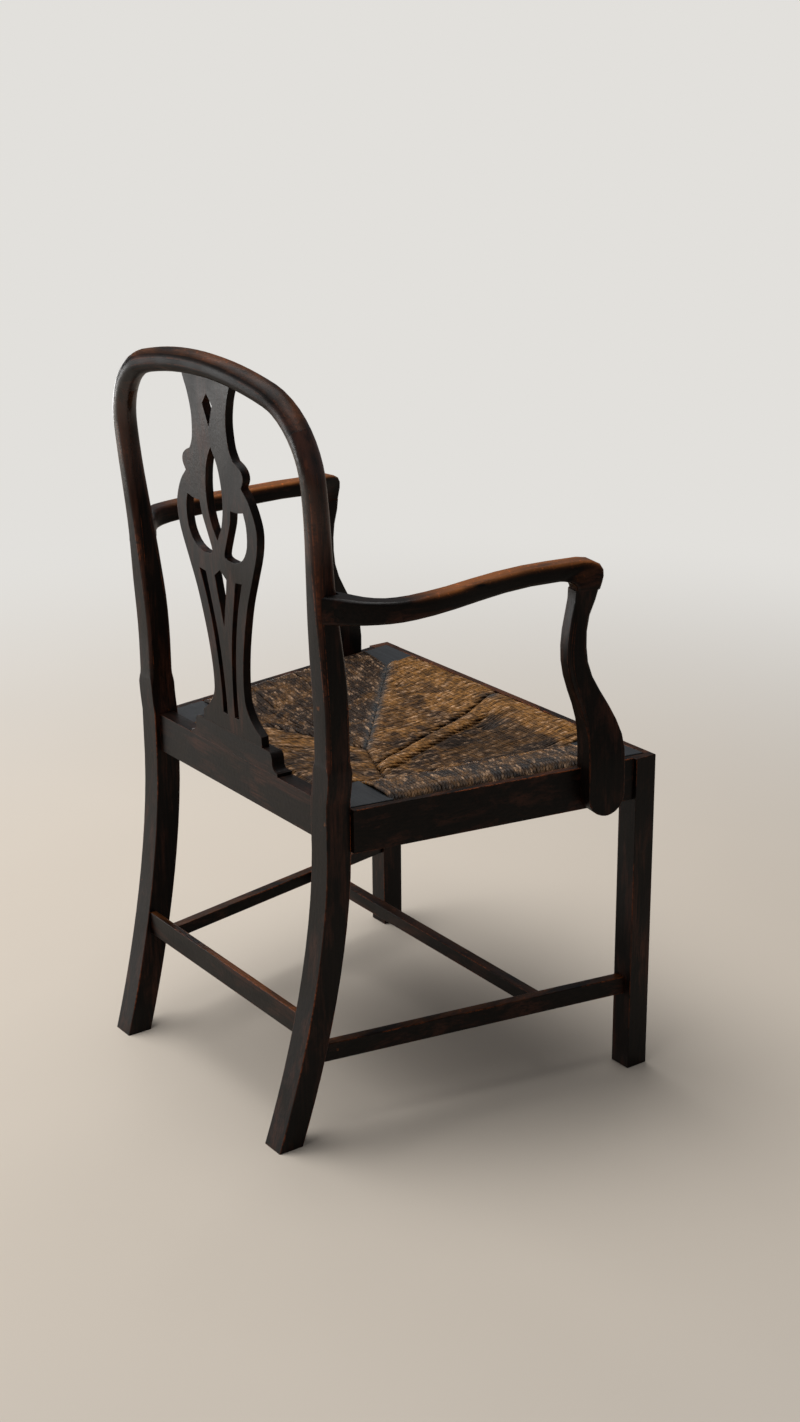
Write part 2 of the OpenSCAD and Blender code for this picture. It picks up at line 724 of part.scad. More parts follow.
// Notch for the upright, leaning with it
module upright_notch() {
  half = post_w(arm_joint_h) / 2;
  translate([post_x(arm_mid_z), upright_y(arm_mid_z), arm_mid_z])
    rotate([-atan(back_lean), 0, 0])
      translate([-hoop_w, -half, -hoop_w])
        cube([hoop_w + half, hoop_w, 2 * hoop_w]);
}

module arm(side) {
  color("#3a2418")
    hand(side)
      difference() {
        arm_blank();
        upright_notch();
        arm_screw(joint_gap);
        arm_screw_bore();
      }
}

// Screw through the arm's end into the upright, under a wooden plug
arm_screw_l = 32;
arm_screw_head_d = 9;
arm_screw_head_h = 3;
arm_screw_depth = 9;
arm_screw_a = 10;
arm_screw_station = 12;
plug_d = 10;
module at_arm_screw() {
  p = arm_point(arm_edges[arm_screw_station][1]);
  translate([p[0], p[1], arm_mid_z])
    rotate([0, 0, arm_screw_a])
      rotate([0, 90, 0])
        translate([0, 0, -arm_screw_depth])
          children();
}
module arm_screw(gap) {
  at_arm_screw() {
    translate([0, 0, -arm_screw_l - gap])
      cylinder(h = arm_screw_l + gap, d = screw_d + 2 * gap);
    translate([0, 0, -gap])
      cylinder(h = arm_screw_head_h + gap, d = arm_screw_head_d + 2 * gap);
  }
}
module arm_screw_bore() {
  at_arm_screw()
    cylinder(h = 2 * arm_screw_depth, d = plug_d + 2 * joint_gap);
}
module arm_screws() {
  color("#8f8a80")
    for (side = ["left", "right"])
      hand(side)
        arm_screw(0);
}
module arm_plugs() {
  color("#3a2a1f")
    for (side = ["left", "right"])
      hand(side)
        intersection() {
          at_arm_screw()
            translate([0, 0, arm_screw_head_h])
              cylinder(h = 2 * arm_screw_depth - arm_screw_head_h, d = plug_d);
          arm_blank();
        }
}

// Arm support, from the joint down to the rail: each section's share of that height, its place out from the
// rail's face, its distance from the front, its width, how much less deep it is than the foot, its rounding
rail_clear = 0.2;
support_steps = [1, 0.941, 0.858, 0.774, 0.69, 0.606, 0.523, 0.439, 0.355, 0.271, 0.188, 0.104, 0];
function support_level(i) = mix(seat_h + rail_clear, arm_joint_h, support_steps[i]);
support_out_mid = [4.5, 3, 1.5, 1, 1, 1, 1, 1.5, 2.5, 3.5, 5, 6.5, 7.5];
support_mid = [115.6, 117, 121.8, 125, 125.8, 124.2, 119, 110.5, 101, 93, 88, 86, 86];
support_w = [28, 28, 28, 28.5, 29, 29, 29.5, 30, 30.5, 31, 31.5, 32, 33];
support_slimmer = [19.8, 22.5, 26, 25.8, 24.2, 22.5, 20, 15.5, 11, 7, 3, 0.5, 0];
support_r = [6, 7, 8, 8, 8, 8, 7.5, 7, 6, 4, 2, 1.5, 1.5];
foot_y = 86;
foot_r = 1.5;
foot_steps = [0, 20, 40, 58, 72, 84];

function support_section(z, out, mid, w, d, r) =
  let (n = [cos(side_a), sin(side_a), 0], t = [-sin(side_a), cos(side_a), 0])
  ring([side_x(mid, 0), mid, z] + n * out, n, t, w, d, r);

// The foot stands against the rail's face and ends in a round lobe below it
module support_blank() {
  last = len(support_steps) - 1;
  lobe_r = support_foot_d / 2;
  lobe_z = rail_z - support_drop + lobe_r;
  foot = [for (a = reversed(foot_steps)) support_section(lobe_z - lobe_r * sin(a), support_out / 2, foot_y,
    support_out, support_foot_d * cos(a), foot_r)];
  top = [support_section(seat_h, support_out / 2, foot_y, support_out, support_foot_d, foot_r)];
  post = [for (i = [last : -1 : 0]) support_section(support_level(i), support_out_mid[i], support_mid[i],
    support_w[i], support_foot_d - support_slimmer[i], support_r[i])];
  loft(concat(foot, top, post));
}

module arm_support(side) {
  color("#1b1512")
    hand(side)
      difference() {
        support_blank();
        support_screw_set(joint_gap);
      }
}

// Two screws from inside each side rail into the support's foot
support_screw_l = 40;
support_screw_head_d = 8.5;
support_screw_head_h = 3;
support_screw_up = [12, 28];
support_screw_y = 87.5;
module support_screw_set(gap) {
  at_side()
    for (up = support_screw_up)
      translate([-rail_t, support_screw_y, rail_z + up])
        rotate([0, 90, 0]) {
          cylinder(h = support_screw_l + gap, d = screw_d + 2 * gap);
          cylinder(h = support_screw_head_h + gap, d = support_screw_head_d + 2 * gap);
        }
}
module support_screws() {
  color("#8f8a80")
    for (side = ["left", "right"])
      hand(side)
        support_screw_set(0);
}

// Drop-in seat: corner blocks, bars between them, and rush wound round the bars
block_top = seat_h + block_rise;
bar_z = ledge_z + rush_t + 0.5;
edge_in = lip_w + seat_gap;
seat_front_y = edge_in;
seat_back_y = back_rail_y - back_lip_w - seat_gap;
bar_in = edge_in + rush_t;
bar_tenon_l = 16;
bar_tenon_t = 6;
front_block_x = side_x(seat_front_y, edge_in) - front_block_w;
back_block_x = side_x(seat_back_y, edge_in) - back_block_w;
front_block_y = seat_front_y + front_block_d;
back_block_y = seat_back_y - back_block_d;

module seat_block_front(side) {
  y1 = front_block_y;
  x0 = front_block_x;
  color("#33302f")
    hand(side)
      difference() {
        slab([[x0, seat_front_y], [side_x(seat_front_y, edge_in), seat_front_y],
          [side_x(y1, edge_in), y1], [x0, y1]], ledge_z, block_top);
        bar_front_tenon(joint_gap);
        bar_side_front_tenon(joint_gap);
      }
}

module seat_block_back(side) {
  y0 = back_block_y;
  x0 = back_block_x;
  notch_y = leg_front_y - seat_gap;
  color("#33302f")
    hand(side)
      difference() {
        slab([[x0, y0], [side_x(y0, edge_in), y0],
          [side_x(seat_back_y, edge_in), seat_back_y], [x0, seat_back_y]], ledge_z, block_top);
        block([leg_inner_x - seat_gap, notch_y, 0], [front_w, chair_depth, chair_h]);
        bar_back_tenon(joint_gap);
        bar_side_back_tenon(joint_gap);
      }
}

tenon_z = bar_z + (bar_t - bar_tenon_t) / 2;
tenon_side = 6;

module bar_front_tenon(gap) {
  block([front_block_x - past, bar_in + tenon_side - gap, tenon_z - gap],
    [front_block_x + bar_tenon_l + gap, bar_in + bar_w - tenon_side + gap, tenon_z + bar_tenon_t + gap]);
}
module bar_back_tenon(gap) {
  y1 = seat_back_y - rush_t;
  block([back_block_x - past, y1 - bar_w + tenon_side - gap, tenon_z - gap],
    [back_block_x + bar_tenon_l + gap, y1 - tenon_side + gap, tenon_z + bar_tenon_t + gap]);
}
module bar_side_front_tenon(gap) {
  slab(side_strip(front_block_y - bar_tenon_l - gap, front_block_y + past, bar_in + tenon_side - gap,
    bar_in + bar_w - tenon_side + gap), tenon_z - gap, tenon_z + bar_tenon_t + gap);
}
module bar_side_back_tenon(gap) {
  slab(side_strip(back_block_y - past, back_block_y + bar_tenon_l + gap, bar_in + tenon_side - gap,
    bar_in + bar_w - tenon_side + gap), tenon_z - gap, tenon_z + bar_tenon_t + gap);
}

module bar_front_body(gap) {
  block([-front_block_x, bar_in - gap, bar_z - gap],
    [front_block_x, bar_in + bar_w + gap, bar_z + bar_t + gap]);
}
module bar_back_body(gap) {
  y1 = seat_back_y - rush_t;
  block([-back_block_x, y1 - bar_w - gap, bar_z - gap], [back_block_x, y1 + gap, bar_z + bar_t + gap]);
}
module bar_side_body(gap) {
  slab(side_strip(front_block_y, back_block_y, bar_in - gap, bar_in + bar_w + gap),
    bar_z - gap, bar_z + bar_t + gap);
}

module seat_bar_front() {
  color("#7a6448") {
    bar_front_body(0);
    for (side = ["left", "right"])
      hand(side)
        bar_front_tenon(0);
  }
}
module seat_bar_back() {
  color("#7a6448") {
    bar_back_body(0);
    for (side = ["left", "right"])
      hand(side)
        bar_back_tenon(0);
  }
}
module seat_bar_side(side) {
  color("#7a6448")
    hand(side) {
      bar_side_body(0);
      bar_side_front_tenon(0);
      bar_side_back_tenon(0);
    }
}

// Rush: crowned at its rolled edges and sagging in the middle, wound round the bars
rush_u_steps = 18;
rush_v_steps = 16;
rush_gap = 0.3;
rush_low = ledge_z + 0.5;
rush_edge = 0.14;
rush_edge_start = 0.25;
function rush_edge_lift(t) =
  let (e = min(t, 1 - t))
  e >= rush_edge ? 1 : sin(90 * mix(rush_edge_start, 1, e / rush_edge));
function rush_sagging(u, v) = sin(180 * u) * sin(180 * v);
function rush_top(u, v) =
  seat_h + rush_rise * min(rush_edge_lift(u), rush_edge_lift(v)) - rush_sag * rush_sagging(u, v);
function rush_xy(u, v) =
  let (y = mix(seat_front_y, seat_back_y, v), x = side_x(y, edge_in))
  [mix(-x, x, u), y];
module rush_body() {
  nu = rush_u_steps;
  nv = rush_v_steps;
  row = nu + 1;
  layer = row * (nv + 1);
  top = [for (j = [0 : nv]) for (i = [0 : nu])
    let (p = rush_xy(i / nu, j / nv))
    [p[0], p[1], rush_top(i / nu, j / nv)]];
  low = [for (p = top) [p[0], p[1], rush_low]];
  faces = concat(
    [for (j = [0 : nv - 1]) for (i = [0 : nu - 1])
      let (a = j * row + i)
      each [[a, a + row, a + 1], [a + 1, a + row, a + row + 1]]],
    [for (j = [0 : nv - 1]) for (i = [0 : nu - 1])
      let (a = layer + j * row + i)
      each [[a, a + 1, a + row], [a + 1, a + row + 1, a + row]]],
    [for (i = [0 : nu - 1]) each [[i, i + 1, layer + i], [i + 1, layer + i + 1, layer + i]]],
    [for (i = [0 : nu - 1])
      let (a = nv * row + i)
      each [[a, layer + a, a + 1], [a + 1, layer + a, layer + a + 1]]],
    [for (j = [0 : nv - 1])
      let (a = j * row)
      each [[a, layer + a, a + row], [a + row, layer + a, layer + a + row]]],
    [for (j = [0 : nv - 1])
      let (a = j * row + nu)
      each [[a, a + row, layer + a], [a + row, layer + a + row, layer + a]]]);
  polyhedron(concat(top, low), faces);
}

module rush_panel() {
  color("#8a6a3f")
    difference() {
      rush_body();
      bar_front_body(rush_gap);
      bar_back_body(rush_gap);
      for (side = ["left", "right"])
        hand(side) {
          bar_side_body(rush_gap);
          block([front_block_x - rush_gap, 0, 0], [front_w, front_block_y + rush_gap, chair_h]);
          block([back_block_x - rush_gap, back_block_y - rush_gap, 0], [front_w, chair_depth, chair_h]);
        }
    }
}

on_floor() back_leg("left");  // back_leg_left
on_floor() back_leg("right");  // back_leg_right
on_floor() crest_rail();
on_floor() crest_dowels();
on_floor() splat();
on_floor() splat_shoe();
on_floor() front_leg("left");  // front_leg_left
on_floor() front_leg("right");  // front_leg_right
on_floor() front_seat_rail();
on_floor() back_seat_rail();
on_floor() side_seat_rail("left");  // side_seat_rail_left
on_floor() side_seat_rail("right");  // side_seat_rail_right
on_floor() brace_front("left");  // brace_front_left
on_floor() brace_front("right");  // brace_front_right
on_floor() brace_back("left");  // brace_back_left
on_floor() brace_back("right");  // brace_back_right
on_floor() side_stretcher("left");  // side_stretcher_left
on_floor() side_stretcher("right");  // side_stretcher_right
on_floor() cross_stretcher();
on_floor() back_stretcher();
on_floor() arm("left");  // arm_left
on_floor() arm("right");  // arm_right
on_floor() arm_support("left");  // arm_support_left
on_floor() arm_support("right");  // arm_support_right
on_floor() arm_screws();
on_floor() arm_plugs();
on_floor() support_screws();
on_floor() seat_block_front("left");  // seat_block_front_left
on_floor() seat_block_front("right");  // seat_block_front_right
on_floor() seat_block_back("left");  // seat_block_back_left
on_floor() seat_block_back("right");  // seat_block_back_right
on_floor() seat_bar_front();
on_floor() seat_bar_back();
on_floor() seat_bar_side("left");  // seat_bar_left
on_floor() seat_bar_side("right");  // seat_bar_right
on_floor() rush_panel();
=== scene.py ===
"""Finishes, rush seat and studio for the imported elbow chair."""
import bpy
import math
import numpy as np
from mathutils import Matrix, Vector
from mathutils.noise import noise as smooth_noise


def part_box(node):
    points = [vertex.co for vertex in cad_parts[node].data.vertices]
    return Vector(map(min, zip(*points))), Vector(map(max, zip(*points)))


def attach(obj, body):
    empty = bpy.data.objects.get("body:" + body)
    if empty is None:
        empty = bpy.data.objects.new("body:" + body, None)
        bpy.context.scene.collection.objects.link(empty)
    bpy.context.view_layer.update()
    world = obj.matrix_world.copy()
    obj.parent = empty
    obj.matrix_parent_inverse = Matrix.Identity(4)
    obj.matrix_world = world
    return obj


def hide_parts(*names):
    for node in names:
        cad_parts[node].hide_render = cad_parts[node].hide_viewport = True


bl_info = {
    "name": "Country Elbow Chair",
    "version": (1, 0, 0),
    "blender": (4, 5, 0),
    "location": "3D View > Sidebar > Elbow Chair",
    "description": "Finishes a country elbow chair: waxed wood, worn arrises and a wound rush seat",
    "category": "Object",
}

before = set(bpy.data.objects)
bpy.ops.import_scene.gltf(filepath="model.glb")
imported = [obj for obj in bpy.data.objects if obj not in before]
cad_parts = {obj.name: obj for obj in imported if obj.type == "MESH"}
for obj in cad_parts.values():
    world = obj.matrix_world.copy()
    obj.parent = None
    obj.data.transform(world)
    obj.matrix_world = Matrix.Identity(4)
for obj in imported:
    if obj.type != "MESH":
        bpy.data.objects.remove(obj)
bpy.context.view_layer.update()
MM = 0.001

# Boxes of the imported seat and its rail, between which the rush is laid
RUSH_LOW, RUSH_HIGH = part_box("rush_panel")
SIDE_RAIL_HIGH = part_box("side_seat_rail_left")[1]
FRONT_BLOCK_LOW, FRONT_BLOCK_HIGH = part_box("seat_block_front_left")
BACK_BLOCK_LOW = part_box("seat_block_back_left")[0]

# Places on the rush are given from the front legs' faces backwards; the frame has its middle at zero
FRONT_FACE_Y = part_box("front_leg_left")[0][1]

# Turns that lay a pattern's Z along the grain, and the axis on which the members' sawn ends face
ALONG = {
    "up": (0.0, 0.0, 0.0),
    "across": (0.0, math.radians(90), 0.0),
    "back": (math.radians(90), 0.0, 0.0),
}
END_GRAIN = {"up": "Z", "across": "X", "back": "Y"}
# The side rails and stretchers run in towards the back by this angle
SIDE_SPLAY = math.radians(9.27)

# Members: the way the grain runs, the side whose splay it follows, the wear of the edges, how much of the
# tops is rubbed, and the kind: gripped arms are rubbed in front alone, rounded legs along their corners, and
# the arched top of the hoop is dull
MEMBERS = {
    "back_leg_left": ("up", 0, 1.0, 0.0, "rounded"), "back_leg_right": ("up", 0, 1.0, 0.0, "rounded"),
    "front_leg_left": ("up", 0, 0.4, 0.2, ""), "front_leg_right": ("up", 0, 0.4, 0.2, ""),
    "crest_rail": ("across", 0, 0.6, 0.35, "arched"), "splat": ("up", 0, 0.15, 0.0, ""),
    "splat_shoe": ("across", 0, 0.05, 0.0, ""),
    "arm_support_left": ("up", 0, 0.7, 0.2, ""), "arm_support_right": ("up", 0, 0.7, 0.2, ""),
    "arm_left": ("back", 0, 0.3, 1.0, "gripped"), "arm_right": ("back", 0, 0.3, 1.0, "gripped"),
    "front_seat_rail": ("across", 0, 1.0, 0.2, ""), "back_seat_rail": ("across", 0, 0.15, 0.0, ""),
    "side_seat_rail_left": ("back", 1, 1.0, 0.1, ""), "side_seat_rail_right": ("back", -1, 1.0, 0.1, ""),
    "side_stretcher_left": ("back", 1, 1.0, 0.5, ""), "side_stretcher_right": ("back", -1, 1.0, 0.5, ""),
    "cross_stretcher": ("across", 0, 1.0, 0.5, ""), "back_stretcher": ("across", 0, 1.0, 0.5, ""),
}
# Arrises against those of the sawn rails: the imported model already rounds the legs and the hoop, and hands
# have rounded the arms
ARRISES = {"back_leg": 0.2, "crest": 0.2, "arm": 2.4, "arm_support": 1.6}
BLOCKS = (
    "seat_block_front_left", "seat_block_front_right", "seat_block_back_left", "seat_block_back_right",
)
# Unstained pieces, each with the way its grain runs
BARE = {
    "seat_bar_front": "across", "seat_bar_back": "across",
    "seat_bar_left": "back", "seat_bar_right": "back",
    "brace_front_left": "across", "brace_front_right": "across",
    "brace_back_left": "across", "brace_back_right": "across",
    "crest_dowels": "across",
}
SCREWS = ("arm_screws", "support_screws")


def linear(code):
    """sRGB hex to the linear colour that the shaders take."""
    channels = [int(code[i:i + 2], 16) / 255 for i in (1, 3, 5)]
    return tuple(c / 12.92 if c <= 0.04045 else ((c + 0.055) / 1.055) ** 2.4 for c in channels) + (1.0,)


def shown(colour):
    """Colour with an opaque alpha."""
    return tuple(colour) if len(colour) == 4 else tuple(colour) + (1.0,)


def mix(a, b, t):
    """Value that share of the way from one to the other."""
    return a + (b - a) * t


def ease(t):
    """Smooth step from 0 to 1, held at both ends."""
    t = min(1.0, max(0.0, t))
    return t * t * (3 - 2 * t)


def new_piece(name, data):
    """Puts a mesh, lamp or camera in the scene."""
    piece = bpy.data.objects.new(name, data)
    bpy.context.scene.collection.objects.link(piece)
    return piece


def smooth_shading(mesh):
    mesh.polygons.foreach_set("use_smooth", [True] * len(mesh.polygons))


def colour_property(name, description, code):
    return bpy.props.FloatVectorProperty(
        name=name, description=description, subtype="COLOR", size=3, min=0, max=1, default=linear(code)[:3])


def length_property(name, description, value, low, high):
    return bpy.props.FloatProperty(
        name=name, description=description, default=value, min=low, max=high, precision=4,
        subtype="DISTANCE", unit="LENGTH")


def share_property(name, description, value, low=0.0, high=1.0):
    return bpy.props.FloatProperty(
        name=name, description=description, default=value, min=low, max=high, subtype="FACTOR")


def power_property(name, description, value):
    return bpy.props.FloatProperty(
        name=name, description=description, default=value, min=0, max=1000, subtype="POWER", unit="POWER")


class WoodLook(bpy.types.PropertyGroup):
    """Colours and wear of the stained wood."""
    deep: colour_property("Stain in the pores", "Darkest brown of the stain", "#050302")
    body: colour_property("Stain", "Brown of the stained wood between the pores", "#140b07")
    warm: colour_property("Thin stain", "Red brown where the stain is thin", "#43251a")
    worn: colour_property("Worn arris", "Wood that shows where an edge is rubbed", "#bd6230")
    handled: colour_property("Handled wood", "Brown of the tops where hands rubbed them", "#77451f")
    grain: length_property("Grain width", "Distance between dark streaks", 3.2 * MM, 0.001, 0.02)
    arris: length_property("Arris", "Rounding of the sawn edges", 1.1 * MM, 0.0002, 0.004)
    wear: share_property("Edge wear", "How much of the edges is rubbed", 0.6)
    gloss: share_property("Wax roughness", "Roughness of the waxed face", 0.36)


class SeatLook(bpy.types.PropertyGroup):
    """Colours and sizes of the drop-in seat."""
    cord: length_property("Rush cord", "Diameter of one twisted rush cord", 5.0 * MM, 0.003, 0.009)
    pitch: length_property("Cord spacing", "Distance from cord to cord", 4.2 * MM, 0.003, 0.009)
    twist: length_property("Twist", "Length of one turn of the twisted cord", 15 * MM, 0.006, 0.05)
    crown: length_property(
        "Rolled edge", "Height of the rolled edges above the seat rails", 7 * MM, 0.002, 0.014)
    sag: length_property("Sag", "Sag of the middle below the rolled edges", 8 * MM, 0.0, 0.012)
    gold: colour_property("Dry rush", "Gold of the rush that is clean", "#9a6b35")
    straw: colour_property("Straw flecks", "Pale skin of single leaves", "#cca582")
    soiled: colour_property("Soiled rush", "Brown of rush that is darkened by use", "#3b291b")
    # Dark leaves and fibres, and also the colour of all painted shade on the rush
    dark: colour_property("Gaps", "Dark between the cords", "#160f09")
    dust: colour_property("Grey dust", "Blue grey of dusty rush along the seam and the rail", "#3d4346")
    block: colour_property("Corner block", "Blue grey of the dusty corner blocks", "#24272a")
    bare: colour_property("Bare wood", "Wood of the hidden bars and braces", "#8d6e49")


class StudioLook(bpy.types.PropertyGroup):
    """Floor, lamps and camera."""
    floor: colour_property("Floor", "Plain pale floor", "#cfc4b6")
    backdrop: colour_property("Backdrop", "Plain pale surroundings", "#e2e0dc")
    window: power_property("Window lamp", "Power of the low soft lamp", 66)
    wall: power_property("Wall lamp", "Power of the low lamp that stands in for a pale wall", 14)
    overhead: power_property("Overhead lamp", "Power of the soft lamp above", 110)
    ambient: share_property("Ambient light", "Strength of the light from all around", 0.2)
    lens: bpy.props.FloatProperty(
        name="Lens", description="Focal length of the camera in mm", default=54.65, min=20, max=200)


class ChairLooks(bpy.types.PropertyGroup):
    """Everything that can be changed on the chair."""
    wood: bpy.props.PointerProperty(type=WoodLook, name="Wood", description="Stained wood")
    seat: bpy.props.PointerProperty(type=SeatLook, name="Seat", description="Drop-in seat")
    studio: bpy.props.PointerProperty(type=StudioLook, name="Studio", description="Floor, lamps and camera")


# Materials

# Nodes lie in rows of twelve
NODES_IN_ROW, NODE_WIDE, NODE_HIGH = 12, 220, 260


def add(tree, kind, inputs=None, **settings):
    """Adds a node with its settings, and sets or links its inputs."""
    node = tree.nodes.new(kind)
    row, column = divmod(len(tree.nodes), NODES_IN_ROW)
    node.location = (NODE_WIDE * column, -NODE_HIGH * row)
    for name, value in settings.items():
        setattr(node, name, value)
    for socket, value in (inputs or {}).items():
        if isinstance(value, bpy.types.NodeSocket):
            tree.links.new(value, node.inputs[socket])
        else:
            node.inputs[socket].default_value = value
    return node


def new_material(name):
    """Material with an empty node tree."""
    material = bpy.data.materials.new(name)
    material.use_nodes = True
    material.node_tree.nodes.clear()
    return material, material.node_tree


def give_surface(tree, shader):
    add(tree, "ShaderNodeOutputMaterial", {"Surface": shader.outputs[0]})


def blend_colours(tree, share, a, b):
    return add(tree, "ShaderNodeMix", {0: share, 6: a, 7: b}, data_type="RGBA").outputs[2]


def spread(tree, value, low, high, to_low=0.0, to_high=1.0):
    """Maps a value from one span to another, held at both ends."""
    node = add(tree, "ShaderNodeMapRange",
               {"Value": value, "From Min": low, "From Max": high, "To Min": to_low, "To Max": to_high})
    return node.outputs["Result"]


def magnitude(tree, value):
    return add(tree, "ShaderNodeMath", {0: value}, operation="ABSOLUTE").outputs[0]


def product(tree, a, b):
    return add(tree, "ShaderNodeMath", {0: a, 1: b}, operation="MULTIPLY").outputs[0]


def axes(tree, vector):
    """The X, Y and Z of a vector."""
    return add(tree, "ShaderNodeSeparateXYZ", {0: vector}).outputs


def turned(tree, place, angles):
    return add(tree, "ShaderNodeMapping", {"Vector": place, "Rotation": angles}).outputs[0]


def drawn_out(tree, place, share):
    """Place whose patterns are longer along Z than they are wide."""
    return add(tree, "ShaderNodeMapping", {"Vector": place, "Scale": (1, 1, share)}).outputs[0]


def noise(tree, place, scale, detail, **inputs):
    """Noise with so many patches to the unit of place, which is a metre unless place is scaled."""
    return add(tree, "ShaderNodeTexNoise", {
        "Vector": place, "Scale": scale, "Detail": detail, **inputs}).outputs[0]


def dented(tree, height, strength, depth, **normal):
    """Normal with a pattern pressed in, over another normal where one is given."""
    return add(tree, "ShaderNodeBump", {
        "Strength": strength, "Distance": depth, "Height": height, **normal}).outputs[0]


# Patterns in the wood, in patches to the metre: thin stain 30 mm wide, handling a hand wide, nicks 5 mm wide
# and chips of which 5 mm shows. Pores are 0.4 mm wide, but are drawn 1 mm wide, or they would not show
THIN_STAIN = 32
PORES = 1000
HANDLING = 14
NICKS = 190
CHIPS = 60


def stained_wood(name, grain_way, splay, look, wear, handled, kind):
    """Open-grained country wood, planed, stained nearly black and waxed for many years.

    The stain lies dark in the pores and thin on the hard streaks, so the faces are streaked along the grain
    with red brown patches, the wax gives a broad soft sheen, and each arris is rubbed back to orange brown.
    """
    material, tree = new_material(name)
    place = add(tree, "ShaderNodeTexCoord").outputs["Object"]
    laid = turned(tree, turned(tree, place, (0, 0, splay)), ALONG[grain_way])
    # Streaks are about twenty times as long as they are wide, and thin patches four times
    streaks = noise(tree, drawn_out(tree, laid, 0.045), 1 / look.grain, 4, Roughness=0.6)
    thin = noise(tree, drawn_out(tree, laid, 0.25), THIN_STAIN, 5, Roughness=0.62, Distortion=0.5)
    pores = noise(tree, drawn_out(tree, laid, 0.06), PORES, 2)
    patches = noise(tree, place, HANDLING, 5, Roughness=0.55)
    nicks = noise(tree, place, NICKS, 4)
    chips = noise(tree, place, CHIPS, 4)

    stain = blend_colours(tree, spread(tree, streaks, 0.36, 0.66), shown(look.deep), shown(look.body))
    bare = product(tree, spread(tree, thin, 0.5, 0.72), spread(tree, streaks, 0.3, 0.55))
    stain = blend_colours(tree, bare, stain, shown(look.warm))
    stain = blend_colours(tree, spread(tree, pores, 0.58, 0.68, 0, 0.6), stain, shown(look.deep))

    rubbed_away = arris_wear(tree, grain_way, place, patches, nicks, look.wear, wear)
    gripped = 1.0
    if kind == "gripped":
        # Hands hold the front of an arm, from 45 mm behind the middle of the seat forwards
        gripped = spread(tree, axes(tree, place)["Y"], 0.12, 0.045)
        rubbed_away = product(tree, rubbed_away, gripped)
    if kind == "rounded":
        warmed, knocked = leg_corners(tree, place, thin, patches, nicks)
        stain = blend_colours(tree, warmed, stain, shown(look.warm))
        rubbed_away = add(tree, "ShaderNodeMath", {
            0: rubbed_away, 1: knocked}, operation="MAXIMUM").outputs[0]
    wood = blend_colours(tree, rubbed_away, stain, shown(look.worn))

    top = product(tree, rubbed_tops(tree, kind, thin), gripped)
    wood = blend_colours(tree, product(tree, top, handled), wood, shown(look.handled))
    scraped = product(tree, top, spread(tree, nicks, 0.6, 0.7, 0, 0.7 * handled))
    wood = blend_colours(tree, scraped, wood, shown(look.worn))
    # A few small chips that knocks left
    wood = blend_colours(tree, spread(tree, chips, 0.73, 0.77, 0, 0.5 * wear), wood, shown(look.handled))

    # Hands that lift the chair by its uprights polish the wax there. The top of the hoop is out of their way
    polish = spread(tree, from_shoulders(tree, place, 55 * MM), 0.1, 0.04)
    gloss, sheen = (look.gloss + 0.1, 0.08) if kind == "arched" else (look.gloss, 0.13)
    roughness = product(tree, spread(tree, patches, 0.3, 0.7, gloss - 0.08, gloss + 0.12),
                        spread(tree, polish, 0, 1, 1, 0.6))
    grooves = dented(tree, streaks, 0.2, 0.25 * MM)
    give_surface(tree, add(tree, "ShaderNodeBsdfPrincipled", {
        "Base Color": wood, "Roughness": roughness, "IOR": 1.5,
        "Normal": dented(tree, nicks, 0.3, 0.6 * MM, Normal=grooves),
        "Specular IOR Level": spread(tree, polish, 0, 1, sheen, 0.45)}))
    return material


def arris_wear(tree, grain_way, place, patches, nicks, all_wear, wear):
    """How far an arris is rubbed bare, broken up by nicks and patches.

    It lies where the rounded normal leaves the face's own. The arrises of the ends are tight in their joints
    and stay dark, and so do the two joints of the hoop, which wax bridges.
    """
    round_normal = add(tree, "ShaderNodeBevel", {"Radius": 2.4 * MM}, samples=6).outputs[0]
    face_normal = add(tree, "ShaderNodeNewGeometry").outputs["True Normal"]
    facing = add(tree, "ShaderNodeVectorMath", {
        0: round_normal, 1: face_normal}, operation="DOT_PRODUCT").outputs[1]
    along = magnitude(tree, axes(tree, round_normal)[END_GRAIN[grain_way]])
    edge = product(tree, spread(tree, facing, 0.99, 0.86), spread(tree, along, 0.5, 0.25))
    edge = product(tree, edge, spread(tree, from_shoulders(tree, place), 0.035, 0.045))
    start = 0.62 - 0.3 * all_wear
    rubbed_away = product(tree, edge, spread(tree, patches, start, start + 0.12, 0, wear))
    return product(tree, rubbed_away, spread(tree, nicks, 0.35, 0.55))


def leg_corners(tree, place, thin, patches, nicks):
    """Where the rounded corners of a back leg are warm, and where knocks bared them, mostly low down."""
    normal = axes(tree, add(tree, "ShaderNodeNewGeometry").outputs["Normal"])
    corner = magnitude(tree, product(tree, normal["X"], normal["Y"]))
    warmed = product(tree, spread(tree, corner, 0.2, 0.42), spread(tree, thin, 0.4, 0.56, 0.1, 0.75))
    low_down = spread(tree, axes(tree, place)["Z"], 0.5, 0.4, 0.12, 0.8)
    knocked = product(tree, spread(tree, corner, 0.45, 0.49), low_down)
    knocked = product(tree, knocked, spread(tree, patches, 0.5, 0.6))
    return warmed, product(tree, knocked, spread(tree, nicks, 0.45, 0.6))


